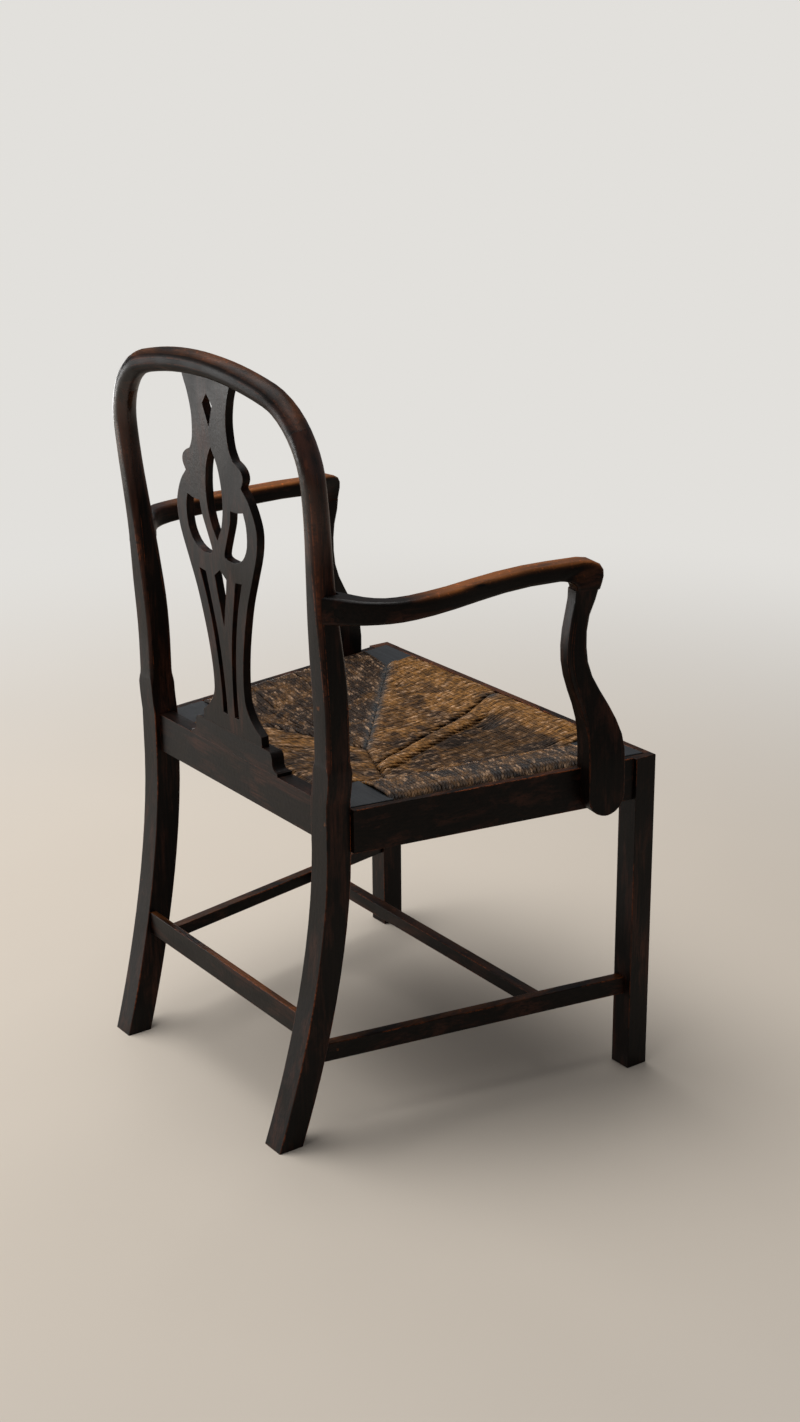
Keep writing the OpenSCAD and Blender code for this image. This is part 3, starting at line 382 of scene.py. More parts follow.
def rubbed_tops(tree, kind, thin):
    """Where hands and shoes rub what faces up back to the warm wood."""
    if kind == "gripped":
        # Sleeves and fingers rub the sides of an arm too, 8 mm down from its top
        normal = add(tree, "ShaderNodeBevel", {"Radius": 8 * MM}, samples=8).outputs[0]
        top, broken_up = spread(tree, axes(tree, normal)["Z"], 0.1, 0.75), spread(tree, thin, 0.3, 0.55)
    else:
        normal = add(tree, "ShaderNodeNewGeometry").outputs["True Normal"]
        top, broken_up = spread(tree, axes(tree, normal)["Z"], 0.35, 0.95), spread(tree, thin, 0.38, 0.62)
    return product(tree, top, broken_up)


def from_shoulders(tree, place, drop=0):
    """Distance to the nearer joint between the hoop and its uprights, or to a point that far below it."""
    low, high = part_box("crest_rail")
    joint = (high[0] - 4 * MM, (low[1] + high[1]) / 2, low[2] + 6 * MM - drop)
    split = axes(tree, place)
    folded = add(tree, "ShaderNodeCombineXYZ", {
        "X": magnitude(tree, split["X"]), "Y": split["Y"], "Z": split["Z"]}).outputs[0]
    return add(tree, "ShaderNodeVectorMath", {0: folded, 1: joint}, operation="DISTANCE").outputs[1]


def sawn_wood(name, grain_way, base, dark, gloss, wax=0.5):
    """Plain sawn wood under the seat: straight streaks, dusty and nearly matt."""
    material, tree = new_material(name)
    place = add(tree, "ShaderNodeTexCoord").outputs["Object"]
    laid = turned(tree, place, ALONG[grain_way])
    # Streaks are 2.5 mm wide and twenty times as long, and dust lies in patches 33 mm wide
    streaks = noise(tree, drawn_out(tree, laid, 0.05), 400, 4)
    dust = noise(tree, place, 30, 5)
    wood = blend_colours(tree, spread(tree, streaks, 0.35, 0.65), dark, base)
    wood = blend_colours(tree, spread(tree, dust, 0.45, 0.75, 0, 0.5), wood, dark)
    give_surface(tree, add(tree, "ShaderNodeBsdfPrincipled", {
        "Base Color": wood, "Roughness": spread(tree, dust, 0.3, 0.7, gloss - 0.08, gloss + 0.08),
        "Normal": dented(tree, streaks, 0.3, 0.2 * MM), "IOR": 1.5, "Specular IOR Level": wax}))
    return material


def rusted_steel(name):
    """Hand-cut steel wood screws, dulled by age: dark metal with brown freckles."""
    material, tree = new_material(name)
    place = add(tree, "ShaderNodeTexCoord").outputs["Object"]
    # Freckles of rust about 1 mm wide
    rust = spread(tree, noise(tree, place, 1000, 4), 0.5, 0.62)
    give_surface(tree, add(tree, "ShaderNodeBsdfPrincipled", {
        "Base Color": blend_colours(tree, rust, linear("#6d6a66"), linear("#4a2a18")),
        "Metallic": spread(tree, rust, 0, 1, 1, 0.1), "Roughness": spread(tree, rust, 0, 1, 0.38, 0.75)}))
    return material


def twisted_rush(name, look):
    """Twisted rush leaf: matt and fibrous, gold where clean and grey brown where soiled.

    The UV map runs along each cord in metres, so the leaf's fibres and the twist follow the cord. The tone
    holds how soiled each cord is, its own shade, its painted shade, and its grey dust.
    """
    material, tree = new_material(name)
    cord = axes(tree, add(tree, "ShaderNodeUVMap", uv_map="cord").outputs[0])
    tinge = add(tree, "ShaderNodeAttribute", attribute_name="tone").outputs
    tone = add(tree, "ShaderNodeSeparateColor", {0: tinge["Color"]}).outputs
    place = add(tree, "ShaderNodeTexCoord").outputs["Object"]

    # Twist: a line across the cord that goes once round it in each turn
    turns = product(tree, cord["X"], 1 / look.twist)
    around = add(tree, "ShaderNodeMath", {0: turns, 1: cord["Y"]}, operation="ADD").outputs[0]
    wave = add(tree, "ShaderNodeMath", {0: product(tree, around, 4 * math.pi)}, operation="SINE").outputs[0]
    fold = spread(tree, wave, -0.9, 0.1)

    def along_cord(to_metre, to_turn, apart):
        """Noise along each cord, with so many patches to the metre and to the turn, other on every cord."""
        return noise(tree, add(tree, "ShaderNodeCombineXYZ", {
            "X": product(tree, cord["X"], to_metre), "Y": product(tree, around, to_turn),
            "Z": product(tree, tone["Green"], apart)}).outputs[0], 1.0, 3)

    # Fibres are about 8 mm long and a third as wide, and stretches of another shade about 22 mm long
    fibres = along_cord(130, 6, 40)
    leaves = along_cord(45, 0.7, 90)
    # Soiling lies in patches 40 mm wide, and broken leaves in tufts of 9 mm that cross several cords
    patches = noise(tree, place, 24, 4, Roughness=0.6, Distortion=0.8)
    tufts = noise(tree, place, 110, 4, Roughness=0.6)

    soil = add(tree, "ShaderNodeMath", {
        0: tone["Red"], 1: spread(tree, patches, 0.4, 0.62, -0.45, 0.5)},
        operation="ADD", use_clamp=True).outputs[0]
    rush = blend_colours(tree, soil, shown(look.gold), shown(look.soiled))
    rush = blend_colours(tree, spread(tree, tufts, 0.36, 0.54, 0.55, 0), rush, shown(look.dark))
    rush = blend_colours(tree, spread(tree, leaves, 0.34, 0.48, 0.6, 0), rush, shown(look.dark))
    rush = blend_colours(tree, spread(tree, fibres, 0.35, 0.55, 0.35, 0), rush, shown(look.dark))
    rush = blend_colours(tree, tinge["Alpha"], rush, shown(look.dust))
    pale = product(tree, spread(tree, leaves, 0.53, 0.68), spread(tree, tufts, 0.42, 0.6, 0.1, 0.85))
    rush = blend_colours(tree, pale, rush, shown(look.straw))
    # Painted shade in the groove of the twist
    rush = blend_colours(tree, spread(tree, fold, 0, 1, 0.35, 0), rush, shown(look.dark))
    # Painted shade that the tone holds: seams, cord ends, the crease, holes, hollows and the left field
    rush = blend_colours(tree, tone["Blue"], rush, shown(look.dark))
    lay = dented(tree, fold, 0.6, 0.7 * MM)
    give_surface(tree, add(tree, "ShaderNodeBsdfPrincipled", {
        "Base Color": rush, "Roughness": spread(tree, fibres, 0.3, 0.7, 0.48, 0.7),
        "Normal": dented(tree, fibres, 0.6, 0.35 * MM, Normal=lay), "IOR": 1.45, "Specular IOR Level": 0.22}))
    return material


def plain_stage(name, colour, backdrop):
    """Matt painted floor: one pale colour with a faint cloudiness, which passes into the backdrop far off."""
    material, tree = new_material(name)
    place = add(tree, "ShaderNodeTexCoord").outputs["Object"]
    # Clouds 0.7 m wide
    clouds = noise(tree, place, 1.5, 3)
    darker = tuple(0.93 * c for c in colour[:3]) + (1.0,)
    paint = add(tree, "ShaderNodeBsdfPrincipled", {
        "Base Color": blend_colours(tree, clouds, darker, colour), "Roughness": 0.9,
        "Specular IOR Level": 0.2})
    # The paint gives way to the backdrop between 0.6 and 2.8 m from the chair's middle
    away = add(tree, "ShaderNodeVectorMath", {0: place}, operation="LENGTH").outputs[1]
    far = add(tree, "ShaderNodeMapRange", {
        "Value": away, "From Min": 0.6, "From Max": 2.8}, interpolation_type="SMOOTHSTEP").outputs["Result"]
    gone = product(tree, far, add(tree, "ShaderNodeLightPath").outputs["Is Camera Ray"])
    glow = add(tree, "ShaderNodeEmission", {"Color": backdrop, "Strength": 1.0})
    give_surface(tree, add(tree, "ShaderNodeMixShader", {
        0: gone, 1: paint.outputs[0], 2: glow.outputs[0]}))
    return material


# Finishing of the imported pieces

def set_material(node, material):
    """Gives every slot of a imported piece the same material."""
    if not node.material_slots:
        node.data.materials.append(material)
    for slot in node.material_slots:
        slot.link = "DATA"
        slot.material = material


def soften_edges(node, width):
    """Breaks the sawn edges, and shades the rounded members smoothly between them."""
    mesh = node.data
    if "custom_normal" in mesh.attributes:
        mesh.attributes.remove(mesh.attributes["custom_normal"])
    smooth_shading(mesh)
    weld = node.modifiers.new("Join points", "WELD")
    weld.merge_threshold = 0.02 * MM
    flat = node.modifiers.new("Merge flat faces", "DECIMATE")
    flat.decimate_type = "DISSOLVE"
    flat.angle_limit = math.radians(0.6)
    bevel = node.modifiers.new("Broken arris", "BEVEL")
    bevel.width = width
    bevel.segments = 2
    bevel.limit_method = "ANGLE"
    bevel.angle_limit = math.radians(38)
    bevel.miter_outer = "MITER_ARC"
    # The short edges round the screw holes of the side rails would hold every other arris back
    bevel.use_clamp_overlap = not node.name.startswith("side_seat_rail")
    normals = node.modifiers.new("Face normals", "WEIGHTED_NORMAL")
    normals.mode = "FACE_AREA_WITH_ANGLE"
    normals.weight = 80


def finish_piece(name, material, arris):
    """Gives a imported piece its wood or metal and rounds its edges."""
    set_material(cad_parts[name], material)
    soften_edges(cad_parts[name], arris)


# Rush seat, in millimetres: Y from the front legs' faces backwards, X to the sitter's left

# The cords' middles stay this far inside the seat's faces, so that it still lifts past the arm supports
INSET = 3.2
SEAT_FRONT = (RUSH_LOW[1] - FRONT_FACE_Y) / MM + INSET
SEAT_BACK = (RUSH_HIGH[1] - FRONT_FACE_Y) / MM - INSET
SEAT_LEFT_FRONT = FRONT_BLOCK_HIGH[0] / MM - INSET
SEAT_LEFT_BACK = SEAT_LEFT_FRONT - (SEAT_BACK - SEAT_FRONT) * math.tan(SIDE_SPLAY)
FRONT_BLOCK_X = FRONT_BLOCK_LOW[0] / MM
FRONT_BLOCK_Y = (FRONT_BLOCK_HIGH[1] - FRONT_FACE_Y) / MM
BACK_BLOCK_X = BACK_BLOCK_LOW[0] / MM
BACK_BLOCK_Y = (BACK_BLOCK_LOW[1] - FRONT_FACE_Y) / MM
RAIL_TOP = SIDE_RAIL_HIGH[2] / MM
RUSH_BOTTOM = RUSH_LOW[2] / MM

# Height of the rolled edges' foot against the rail, width of the roll, and how far in the sag starts and ends
EDGE_FOOT = -6.0
EDGE_ROLL = 14.0
SAG_START = 22.0
SAG_FULL = 92.0

# Where the fields of cords meet, seen from above, and the ridge between the front field and the right one
MEET_LEFT = (-55.0, 284.0)
MEET_RIGHT = (-126.0, 314.0)
BAND_RIDGE = ((-226.0, FRONT_BLOCK_Y), (-181.0, 235.0), (-170.0, 332.0))

# A tear that was packed and drawn together: a dark crease with a smooth roll of rush to its right
CREASE = ((-115.0, 318.0), (17.0, 3.0))
ROLL_ASIDE = 18.0
ROLL_HALF = 11.0
# How far back the gold strip along the front rail reaches
GOLD_STRIP = 66.0
# Hollows that a sitter left: place, reach and depth
HOLLOWS = (((-66.0, 100.0), 30.0, 5.0), ((-119.0, 150.0), 36.0, 3.0), ((60.0, 160.0), 70.0, 1.5))
# Small holes where cords are broken: place and reach
HOLES = (((128.0, 100.0), 9.0), ((-78.0, 106.0), 12.0))
# Dust-grey worn spots: place and reach
WORN_SPOTS = (((-2.0, 36.0), 13.0), ((7.0, 18.0), 9.0))

# Length of the straight bits that make a cord's curve, on top and underneath
TOP_STEP, UNDER_STEP = 5.0, 12.0
# An end this near to an edge hangs over it; ends further in lie in a seam
NEAR_EDGE = 6.0
# Shorter stretches get no cord, and lines whose directions differ by less than this never cross
SHORTEST_CORD = 5.0
PARALLEL = 1e-9


def side_line(y):
    """X of the rush's left edge at a depth."""
    return mix(SEAT_LEFT_FRONT, SEAT_LEFT_BACK, (y - SEAT_FRONT) / (SEAT_BACK - SEAT_FRONT))


def edge_distances(x, y):
    """Distances to the front, back, left and right edge of the rush."""
    c = math.cos(SIDE_SPLAY)
    return (y - SEAT_FRONT, SEAT_BACK - y, (side_line(y) - x) * c, (side_line(y) + x) * c)


def bell(distance, reach):
    """Share that falls off on all sides of a place or line."""
    return math.exp(-(distance / reach) ** 2)


def rush_height(x, y, crown, sag):
    """Top of the rush: rolled over the bars at its edges and sagging in the middle."""
    edges = edge_distances(x, y)
    near, right = min(edges), edges[3]
    t = min(1.0, max(0.0, near) / EDGE_ROLL)
    lift = math.sqrt(1 - (1 - t) ** 2)
    inward = ease((near - SAG_START) / (SAG_FULL - SAG_START))
    # The dusty band on the right stands a little proud of the sag
    ridge = 2.5 * bell(right - 48, 18) * ease((y - 40) / 60)
    hollow = sum(depth * bell(math.dist((x, y), place), reach) for place, reach, depth in HOLLOWS)
    return RAIL_TOP + mix(EDGE_FOOT, crown, lift) - sag * inward + ridge - hollow


def from_crease(x, y):
    """Distance to the right of the crease, and the share of its length that has been passed."""
    (ax, ay), (bx, by) = CREASE
    length = math.hypot(bx - ax, by - ay)
    ux, uy = (bx - ax) / length, (by - ay) / length
    return (x - ax) * uy - (y - ay) * ux, ((x - ax) * ux + (y - ay) * uy) / length


def at(origin, way, t):
    return origin[0] + way[0] * t, origin[1] + way[1] * t


def inside_spans(outline, origin, way):
    """Stretches of a line inside an outline that are long enough, each as two distances along it."""
    crossings = []
    for i, (ax, ay) in enumerate(outline):
        bx, by = outline[(i + 1) % len(outline)]
        ex, ey = bx - ax, by - ay
        turn = way[0] * ey - way[1] * ex
        if abs(turn) < PARALLEL:
            continue
        t = ((ax - origin[0]) * ey - (ay - origin[1]) * ex) / turn
        u = ((ax - origin[0]) * way[1] - (ay - origin[1]) * way[0]) / turn
        if 0 <= u < 1:
            crossings.append(t)
    crossings.sort()
    return [(a, b) for a, b in zip(crossings[::2], crossings[1::2]) if b - a > SHORTEST_CORD]


def new_tones(mesh, tones):
    """Stores soil, shade of its own, painted shade, and dust at each point."""
    tone = mesh.attributes.new("tone", "FLOAT_COLOR", "POINT")
    tone.data.foreach_set("color", np.array(tones, np.float32).ravel())


class CordMesh:
    """Collects cords as tubes, with a UV map along them and a tone for each."""

    def __init__(self):
        self.points, self.faces, self.uvs, self.tones = [], [], [], []

    def tube(self, path, radius, tones, seed, sides=7):
        """Adds a cord along a path, a little flattened and uneven, and closed at both ends."""
        start = len(self.points)
        length = 0.0
        last = len(path) - 1
        for i, p in enumerate(path):
            ahead = path[min(i + 1, last)] - path[max(i - 1, 0)]
            ahead.normalize()
            across = ahead.cross(Vector((0, 0, 1)))
            if across.length < 0.2:
                across = ahead.cross(Vector((1, 0.3, 0)))
            across.normalize()
            up = across.cross(ahead)
            if i:
                length += (p - path[i - 1]).length
            r = radius * (1 + 0.13 * smooth_noise(Vector((seed * 3.1, length * 0.09, 0))))
            for k in range(sides):
                a = 2 * math.pi * k / sides
                self.points.append((p + (across * math.cos(a) + up * math.sin(a) * 0.9) * r) * MM)
                self.tones.append(tones[i])
                self.uvs.append((length * MM, k / sides))
        for i in range(last):
            for k in range(sides):
                a, b = start + i * sides + k, start + i * sides + (k + 1) % sides
                self.faces.append((a, b, b + sides, a + sides))
        self.faces.append(tuple(start + k for k in reversed(range(sides))))
        self.faces.append(tuple(start + last * sides + k for k in range(sides)))

    def make(self, name, material):
        """Makes one piece of all the cords."""
        mesh = bpy.data.meshes.new(name)
        mesh.from_pydata([tuple(p) for p in self.points], [], self.faces)
        new_tones(mesh, self.tones)
        layer = mesh.uv_layers.new(name="cord")
        corners = np.zeros(len(mesh.loops), np.int32)
        mesh.loops.foreach_get("vertex_index", corners)
        uv = np.array(self.uvs, np.float32)[corners]
        # The last side of each tube closes at one turn, not back at nought
        starts = np.zeros(len(mesh.polygons), np.int32)
        totals = np.zeros(len(mesh.polygons), np.int32)
        mesh.polygons.foreach_get("loop_start", starts)
        mesh.polygons.foreach_get("loop_total", totals)
        for first, count in zip(starts, totals):
            turns = uv[first:first + 4, 1]
            if count == 4 and np.ptp(turns) > 0.5:
                turns[turns < 0.25] += 1
        layer.data.foreach_set("uv", uv.ravel())
        smooth_shading(mesh)
        mesh.materials.append(material)
        return new_piece(name, mesh)


def rush_fields():
    """Each field of cords: its name, its outline, the way its cords run, and how soiled it is."""
    # The cords are tucked 2 mm over the corner blocks
    tuck = 2.0
    front_x, front_y = FRONT_BLOCK_X + tuck, FRONT_BLOCK_Y - tuck
    back_y = BACK_BLOCK_Y + tuck
    front_side, back_side = side_line(FRONT_BLOCK_Y), side_line(BACK_BLOCK_Y)
    front = [(front_x, SEAT_FRONT), (front_x, FRONT_BLOCK_Y), MEET_LEFT, MEET_RIGHT,
             *reversed(BAND_RIDGE), (-front_x, FRONT_BLOCK_Y), (-front_x, SEAT_FRONT)]
    left = [(FRONT_BLOCK_X, front_y), (front_side, front_y), (back_side, back_y), (BACK_BLOCK_X, back_y),
            MEET_LEFT]
    right = [(-FRONT_BLOCK_X, front_y), *BAND_RIDGE[1:], (-BACK_BLOCK_X, back_y), (-back_side, back_y),
             (-front_side, front_y)]
    back = [(BACK_BLOCK_X, SEAT_BACK), (BACK_BLOCK_X, BACK_BLOCK_Y), MEET_LEFT, MEET_RIGHT, BAND_RIDGE[-1],
            (-BACK_BLOCK_X, BACK_BLOCK_Y), (-BACK_BLOCK_X, SEAT_BACK)]
    return [
        ("front", front, (-0.08, 1.0), 0.18),
        ("left", left, (-1.0, 0.06), 0.95),
        ("right", right, (1.0, -0.03), 0.8),
        ("back", back, (-0.25, -1.0), 0.5),
    ]


def near_line(x, y, a, b):
    """Distance from a place to a stretch of line."""
    ex, ey = b[0] - a[0], b[1] - a[1]
    t = min(1.0, max(0.0, ((x - a[0]) * ex + (y - a[1]) * ey) / (ex * ex + ey * ey)))
    return math.hypot(x - a[0] - ex * t, y - a[1] - ey * t)


def soiling(name, soil, own, x, y):
    """How soiled, dusty and darkened by painted shade a cord is at a place, from its field and what the seat
    went through.
    """
    front, _, left, right = edge_distances(x, y)
    dirt = soil + 0.14 * own
    shade = 0.0
    # Blue grey dust lies along the left seam
    seam = near_line(x, y, (FRONT_BLOCK_X, FRONT_BLOCK_Y), MEET_LEFT)
    dust = 0.8 * bell(seam, 6.5)
    if name == "left":
        # Painted shade over the whole left field
        shade = 0.25
        dirt += 0.3 * ease((34 - left) / 12)
    if name == "right":
        # The side that hangs over the bar is dusty, and the cords are paler along the ridge at its inner end
        dust = 0.28 * ease((52 - right) / 16)
        fold = min(near_line(x, y, *BAND_RIDGE[:2]), near_line(x, y, *BAND_RIDGE[1:]))
        dirt -= 0.7 * bell(fold, 3)
    if name == "front":
        aside = from_crease(x, y)[0]
        if aside > ROLL_ASIDE:
            # Past the roll the rush is soiled and darkened by painted shade, up to the ragged gold strip
            # along the front rail
            ragged = 10 * smooth_noise(Vector((x * 0.07, 3, 1))) + 6 * smooth_noise(Vector((x * 0.21, 8, 1)))
            past = ease((aside - ROLL_ASIDE - ROLL_HALF) / 6)
            deep = ease((y - GOLD_STRIP - ragged) / 10)
            dirt += 0.6 * past * deep
            shade = 0.5 * past * deep * ease((225 - y) / 60)
        else:
            # A sitter soiled the middle
            dirt += 0.3 * ease((140 - math.hypot(x - 20, y - 210)) / 60)
        dirt -= 0.28 * ease((55 - front) / 30)
        spot = max(bell(math.dist((x, y), place), reach) for place, reach in WORN_SPOTS)
        dust = max(dust, 0.85 * spot)
    return dirt, shade, dust


def crease_relief(x, y):
    """Height and shade that the crease and its roll add to the front field, and the share of roll there."""
    aside, share = from_crease(x, y)
    if not -0.02 < share < 1.02:
        return 0.0, 0.0, 0.0
    fade = ease((0.8 - share) / 0.1)
    width = 3.2 + 1.2 * smooth_noise(Vector((share * 9, 1.0, 4.0)))
    line = bell(aside, width)
    beside = bell(aside - ROLL_ASIDE - ROLL_HALF - 1, 2.5) * fade
    rolled = math.exp(-((aside - ROLL_ASIDE) / ROLL_HALF) ** 4) * fade
    return 4.5 * rolled - 5 * line - 1.5 * beside, max(0.95 * line, 0.5 * beside), rolled


def hole_shade(x, y):
    return max(math.exp(-(math.dist((x, y), place) / reach) ** 4) for place, reach in HOLES)


def lay_cords(cords, field, look, underside):
    """Fills one field with cords side by side, wider apart underneath, where they don't show."""
    name, outline, way, _ = field
    length = math.hypot(*way)
    way = (way[0] / length, way[1] / length)
    side = (-way[1], way[0])
    pitch = look.pitch / MM * (1.5 if underside else 1.0)
    offsets = [p[0] * side[0] + p[1] * side[1] for p in outline]
    for i in range(int((max(offsets) - min(offsets)) / pitch)):
        seed = i + 100 * len(name)
        shift = min(offsets) + (i + 0.5) * pitch + 1.2 * smooth_noise(Vector((seed * 0.73, 1.7, 0.2)))
        origin = (side[0] * shift, side[1] * shift)
        for span in inside_spans(outline, origin, way):
            lay_cord(cords, field, look, underside, origin, way, side, span, seed)


def lay_cord(cords, field, look, underside, origin, way, side, span, seed):
    """Lays one cord along a span of its line: it wanders, dips into the seams and hangs over the edges."""
    name, _, _, soil = field
    crown, sag, radius = look.crown / MM, look.sag / MM, look.cord / MM / 2
    t0, t1 = span
    path, tones = [], []
    steps = max(2, int((t1 - t0) / (UNDER_STEP if underside else TOP_STEP)))
    lean = smooth_noise(Vector((seed * 1.3, 7.7, 0)))
    own = smooth_noise(Vector((seed * 2.1, 3.3, 5.5)))
    seam_start = min(edge_distances(*at(origin, way, t0))) > NEAR_EDGE
    seam_end = min(edge_distances(*at(origin, way, t1))) > NEAR_EDGE
    for k in range(steps + 1):
        t = mix(t0, t1, k / steps)
        wander = 2.2 * smooth_noise(Vector((t * 0.018, seed * 0.35, 9.0)))
        x = origin[0] + way[0] * t + side[0] * wander
        y = origin[1] + way[1] * t + side[1] * wander
        from_end = min(t - t0 if seam_start else math.inf, t1 - t if seam_end else math.inf)
        dip = 3.4 * math.exp(-max(0.0, from_end) / 4.0)
        lump = 1.6 * smooth_noise(Vector((x * 0.03, y * 0.03, 2.0))) + 0.9 * lean
        lump += 0.9 * smooth_noise(Vector((x * 0.09, y * 0.09, 4.0)))
        dirt, shade, dust = soiling(name, soil, own, x, y)
        # Painted shade where a cord's end dips into a seam
        shade = max(shade, 0.5 * math.exp(-max(0.0, from_end) / 3.0))
        if underside:
            z = RUSH_BOTTOM + radius + 0.6 + 0.5 * lump
        else:
            relief, dark, rolled = crease_relief(x, y) if name == "front" else (0.0, 0.0, 0.0)
            hole = hole_shade(x, y)
            z = rush_height(x, y, crown, sag) - radius - dip + lump * (1 - 0.8 * rolled) + relief - 4 * hole
            # Painted shade in the crease and the holes, and none on the roll
            shade = max(shade * (1 - rolled), dark, 0.85 * hole)
            dirt = mix(dirt, 0.1, rolled)
        path.append(Vector((x, y, z)))
        tones.append((min(1.0, max(0.0, dirt)), 0.5 + 0.5 * own, shade, dust))
    path, tones = hang_ends(path, tones, radius)
    cords.tube(path, radius, tones, seed)


def hang_ends(path, tones, radius):
    """Takes the ends that reach an edge down round the bar."""
    for end in (0, -1):
        p = path[end]
        if min(edge_distances(p[0], p[1])) < NEAR_EDGE:
            down = [Vector((p[0], p[1], mix(p[2], RUSH_BOTTOM + radius, s))) for s in (0.35, 0.7, 1.0)]
            if end == 0:
                path = down[::-1] + path
                tones = [tones[0]] * 3 + tones
            else:
                path = path + down
                tones = tones + [tones[-1]] * 3
    return path, tones


def rush_backing(look):
    """Dark stuffing of broken leaves that closes the gaps between the cords.

    It is a grid of squares on top and one underneath, without those near the corner blocks.
    """
    crown, sag, cord = look.crown / MM, look.sag / MM, look.cord / MM
    rows, columns = 30, 34
    # It ends 4 mm inside the rush's edges, and squares whose middle is within 6 mm of a block are left out
    margin, clear = 4.0, 6.0

    def place(i, j):
        y = mix(SEAT_FRONT + margin, SEAT_BACK - margin, j / rows)
        return mix(margin - side_line(y), side_line(y) - margin, i / columns), y

    def kept(i, j):
        x, y = place(i + 0.5, j + 0.5)
        in_front_block = abs(x) > FRONT_BLOCK_X - clear and y < FRONT_BLOCK_Y + clear
        in_back_block = abs(x) > BACK_BLOCK_X - clear and y > BACK_BLOCK_Y - clear
        return not (in_front_block or in_back_block)

    grid = [place(i, j) for j in range(rows + 1) for i in range(columns + 1)]
    points = [Vector((x, y, rush_height(x, y, crown, sag) - cord - 0.5)) * MM for x, y in grid]
    points += [Vector((x, y, RUSH_BOTTOM + cord)) * MM for x, y in grid]
    row, size = columns + 1, len(grid)
    faces, around = [], set()
    for j in range(rows):
        for i in range(columns):
            if kept(i, j):
                a = j * row + i
                ring = (a, a + 1, a + row + 1, a + row)
                faces.append(ring)
                faces.append(tuple(size + k for k in reversed(ring)))
                around.update(zip(ring, ring[1:] + ring[:1]))
    # Sides, wherever an edge has a face on one side alone
    faces += [(b, a, a + size, b + size) for a, b in sorted(around) if (b, a) not in around]
    return points, faces


def make_backing(look, material):
    """Makes the stuffing a piece, soiled and deep in shade all over."""
    points, faces = rush_backing(look)
    mesh = bpy.data.meshes.new("rush_stuffing")
    mesh.from_pydata([tuple(p) for p in points], [], faces)
    new_tones(mesh, [(0.9, 0.5, 0.7, 0.0)] * len(points))
    mesh.uv_layers.new(name="cord")
    mesh.materials.append(material)
    mesh.validate()
    return new_piece("rush_stuffing", mesh)


# Operators

class ChairOperator:
    """Makes its pieces with the looks that the scene holds"""
    bl_options = {"REGISTER", "UNDO"}

    def execute(self, context):
        self.make(context.scene.elbow_chair)
        return {"FINISHED"}


class FinishStainedWood(ChairOperator, bpy.types.Operator):
    """Stains and waxes the legs, rails, stretchers, back, arms and supports"""
    bl_idname = "elbow_chair.finish_stained_wood"
    bl_label = "Finish Stained Wood"

    def make(self, looks):
        made = {}
        for name, key in MEMBERS.items():
            grain_way, turn, wear, handled, kind = key
            if key not in made:
                label = f"waxed_stained_elm_{len(made) + 1}_{grain_way}"
                made[key] = stained_wood(label, grain_way, turn * SIDE_SPLAY, looks.wood, wear, handled, kind)
            finish_piece(name, made[key], ARRISES.get(name.rsplit("_", 1)[0], 1.0) * looks.wood.arris)


class FinishHiddenWood(ChairOperator, bpy.types.Operator):
    """Gives the corner blocks, bars, braces and dowels their sawn wood"""
    bl_idname = "elbow_chair.finish_hidden_wood"
    bl_label = "Finish Hidden Wood"

    def make(self, looks):
        seat = looks.seat
        block = sawn_wood("dusty_stained_block", "across", shown(seat.block), linear("#15171a"), 0.55, 0.4)
        for name in BLOCKS:
            finish_piece(name, block, 1.5 * MM)
        made = {}
        for name, grain_way in BARE.items():
            if grain_way not in made:
                made[grain_way] = sawn_wood(
                    f"sawn_beech_{grain_way}", grain_way, shown(seat.bare), linear("#4e3922"), 0.7)
            finish_piece(name, made[grain_way], 0.8 * MM)


class FinishFixings(ChairOperator, bpy.types.Operator):
    """Finishes the screws and the wooden plugs over them"""
    bl_idname = "elbow_chair.finish_fixings"
    bl_label = "Finish Fixings"

    def make(self, looks):
        steel = rusted_steel("dulled_steel")
        for name in SCREWS:
            finish_piece(name, steel, 0.3 * MM)
        plug = sawn_wood("stained_end_grain", "up", linear("#140c08"), linear("#060403"), 0.45, 0.13)
        finish_piece("arm_plugs", plug, 0.3 * MM)


class WeaveRushSeat(ChairOperator, bpy.types.Operator):
    """Winds the rush cords over the bars of the drop-in seat"""
    bl_idname = "elbow_chair.weave_rush_seat"
    bl_label = "Weave Rush Seat"

    def make(self, looks):
        look = looks.seat
        rush = twisted_rush("twisted_rush_leaf", look)
        cords = CordMesh()
        for underside in (False, True):
            for field in rush_fields():
                lay_cords(cords, field, look, underside)
        seat = cords.make("rush_cords", rush)
        stuffing = make_backing(look, rush)
        for piece in (seat, stuffing):
            piece.location = (0, FRONT_FACE_Y, 0)
            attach(piece, "drop_in_seat")
        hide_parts("rush_panel")


# Lamps, in metres: where each hangs, what it is turned to, and its size
LAMPS = {
    "window": ((3.3, 2.6, 0.38), (0, 0, 0.45), (3.0, 0.7)),
    "wall": ((3.4, -0.9, 0.5), (0, 0, 0.45), (1.3, 0.7)),
    "overhead": ((0.8, 0.5, 3.1), (0.2, 0.1, 0), (2.6, 2.6)),
}


class SetStudio(ChairOperator, bpy.types.Operator):
    """Lays the pale floor, hangs the lamps and sets the camera"""
    bl_idname = "elbow_chair.set_studio"
    bl_label = "Set Studio"

    def make(self, looks):
        studio = looks.studio
        lay_floor(studio)
        light_world(studio)
        for name, (place, target, size) in LAMPS.items():
            hang_lamp(f"{name}_lamp", place, target, size, getattr(studio, name))
        place_camera(studio)
        bpy.context.scene.view_settings.view_transform = "Standard"


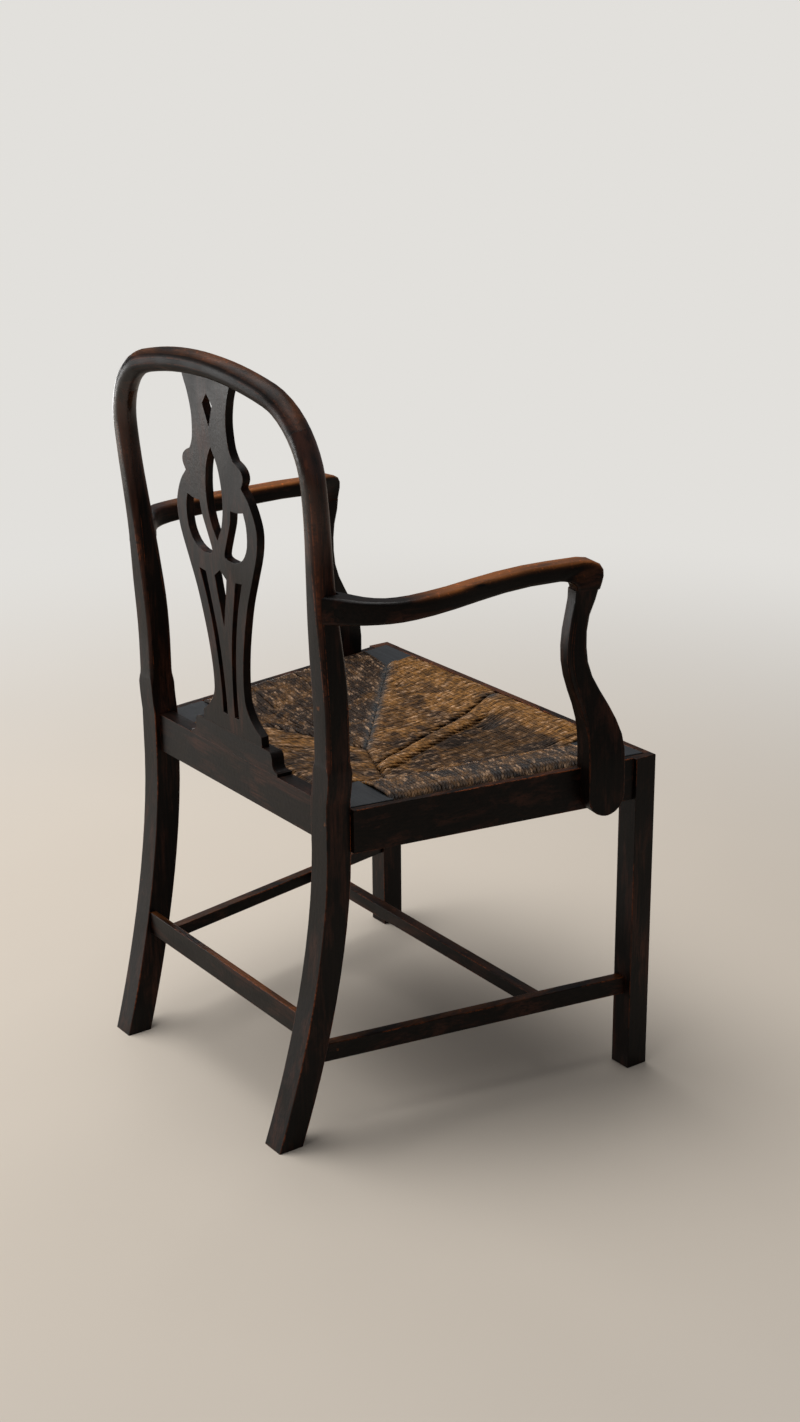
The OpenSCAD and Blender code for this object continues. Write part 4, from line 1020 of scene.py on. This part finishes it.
def lay_floor(studio):
    """Round floor of 24 m to each side."""
    mesh = bpy.data.meshes.new("studio_floor")
    reach, sides = 24.0, 64
    ring = [(reach * math.cos(2 * math.pi * k / sides), reach * math.sin(2 * math.pi * k / sides), 0)
            for k in range(sides)]
    mesh.from_pydata(ring, [], [tuple(range(sides))])
    mesh.materials.append(plain_stage("matt_floor_paint", shown(studio.floor), shown(studio.backdrop)))
    floor = new_piece("studio_floor", mesh)


def light_world(studio):
    """Faint cool light from all around, behind a plain pale backdrop that only the camera sees."""
    world = bpy.data.worlds.new("studio_world")
    bpy.context.scene.world = world
    world.use_nodes = True
    tree = world.node_tree
    tree.nodes.clear()
    ray = add(tree, "ShaderNodeLightPath").outputs
    seen = add(tree, "ShaderNodeMath", {
        0: ray["Is Camera Ray"], 1: ray["Is Transmission Ray"]}, operation="MAXIMUM").outputs[0]
    light = add(tree, "ShaderNodeBackground", {"Color": linear("#f4f6fa"), "Strength": studio.ambient})
    backdrop = add(tree, "ShaderNodeBackground", {"Color": shown(studio.backdrop), "Strength": 1.0})
    both = add(tree, "ShaderNodeMixShader", {0: seen, 1: light.outputs[0], 2: backdrop.outputs[0]})
    add(tree, "ShaderNodeOutputWorld", {"Surface": both.outputs[0]})


def hang_lamp(name, place, target, size, power):
    """Hangs a soft oblong lamp, which the camera doesn't see, and turns it to its target."""
    lamp = bpy.data.lights.new(name, "AREA")
    lamp.shape = "RECTANGLE"
    lamp.size, lamp.size_y = size
    lamp.energy = power
    hung = new_piece(name, lamp)
    hung.location = place
    hung.visible_camera = False
    hung.rotation_euler = (Vector(target) - Vector(place)).to_track_quat("-Z", "Y").to_euler()


# Camera, in metres and radians: where it stands, its heading from +X, how far it looks down, and its tilt
CAMERA_PLACE = (-2.2389, 1.5076, 1.4164)
CAMERA_HEADING = -0.61536
CAMERA_DOWN = 0.33603
CAMERA_TILT = -0.00758


def place_camera(studio):
    """Sets the camera where the photo was taken from."""
    ahead = Vector((math.cos(CAMERA_HEADING) * math.cos(CAMERA_DOWN),
                    math.sin(CAMERA_HEADING) * math.cos(CAMERA_DOWN), -math.sin(CAMERA_DOWN)))
    level = ahead.cross(Vector((0, 0, 1))).normalized()
    upright = level.cross(ahead)
    c, s = math.cos(CAMERA_TILT), math.sin(CAMERA_TILT)
    right = level * c + upright * s
    up = upright * c - level * s
    camera = bpy.data.cameras.new("photo_camera")
    camera.sensor_fit = "AUTO"
    camera.sensor_width = 36
    camera.lens = studio.lens
    camera.clip_start, camera.clip_end = 0.05, 100
    held = new_piece("photo_camera", camera)
    turn = Matrix((right, up, -ahead)).transposed().to_4x4()
    held.matrix_world = Matrix.Translation(CAMERA_PLACE) @ turn
    bpy.context.scene.camera = held


OPERATORS = (FinishStainedWood, FinishHiddenWood, FinishFixings, WeaveRushSeat, SetStudio)


class ELBOW_CHAIR_PT_panel(bpy.types.Panel):
    """Lists the chair's pieces and their looks"""
    bl_idname = "ELBOW_CHAIR_PT_panel"
    bl_label = "Elbow Chair"
    bl_space_type = "VIEW_3D"
    bl_region_type = "UI"
    bl_category = "Elbow Chair"

    def draw(self, context):
        looks = context.scene.elbow_chair
        for operator in OPERATORS:
            self.layout.operator(operator.bl_idname)
        for group in (looks.wood, looks.seat, looks.studio):
            box = self.layout.box()
            for name in group.__annotations__:
                box.prop(group, name)


CLASSES = (WoodLook, SeatLook, StudioLook, ChairLooks) + OPERATORS + (ELBOW_CHAIR_PT_panel,)


def register():
    for cls in CLASSES:
        bpy.utils.register_class(cls)
    bpy.types.Scene.elbow_chair = bpy.props.PointerProperty(
        type=ChairLooks, name="Elbow Chair", description="Looks of the elbow chair")


def unregister():
    del bpy.types.Scene.elbow_chair
    for cls in reversed(CLASSES):
        bpy.utils.unregister_class(cls)


def main():
    register()
    bpy.ops.elbow_chair.finish_stained_wood()
    bpy.ops.elbow_chair.finish_hidden_wood()
    bpy.ops.elbow_chair.finish_fixings()
    bpy.ops.elbow_chair.weave_rush_seat()
    bpy.ops.elbow_chair.set_studio()


if __name__ == "__main__":
    main()
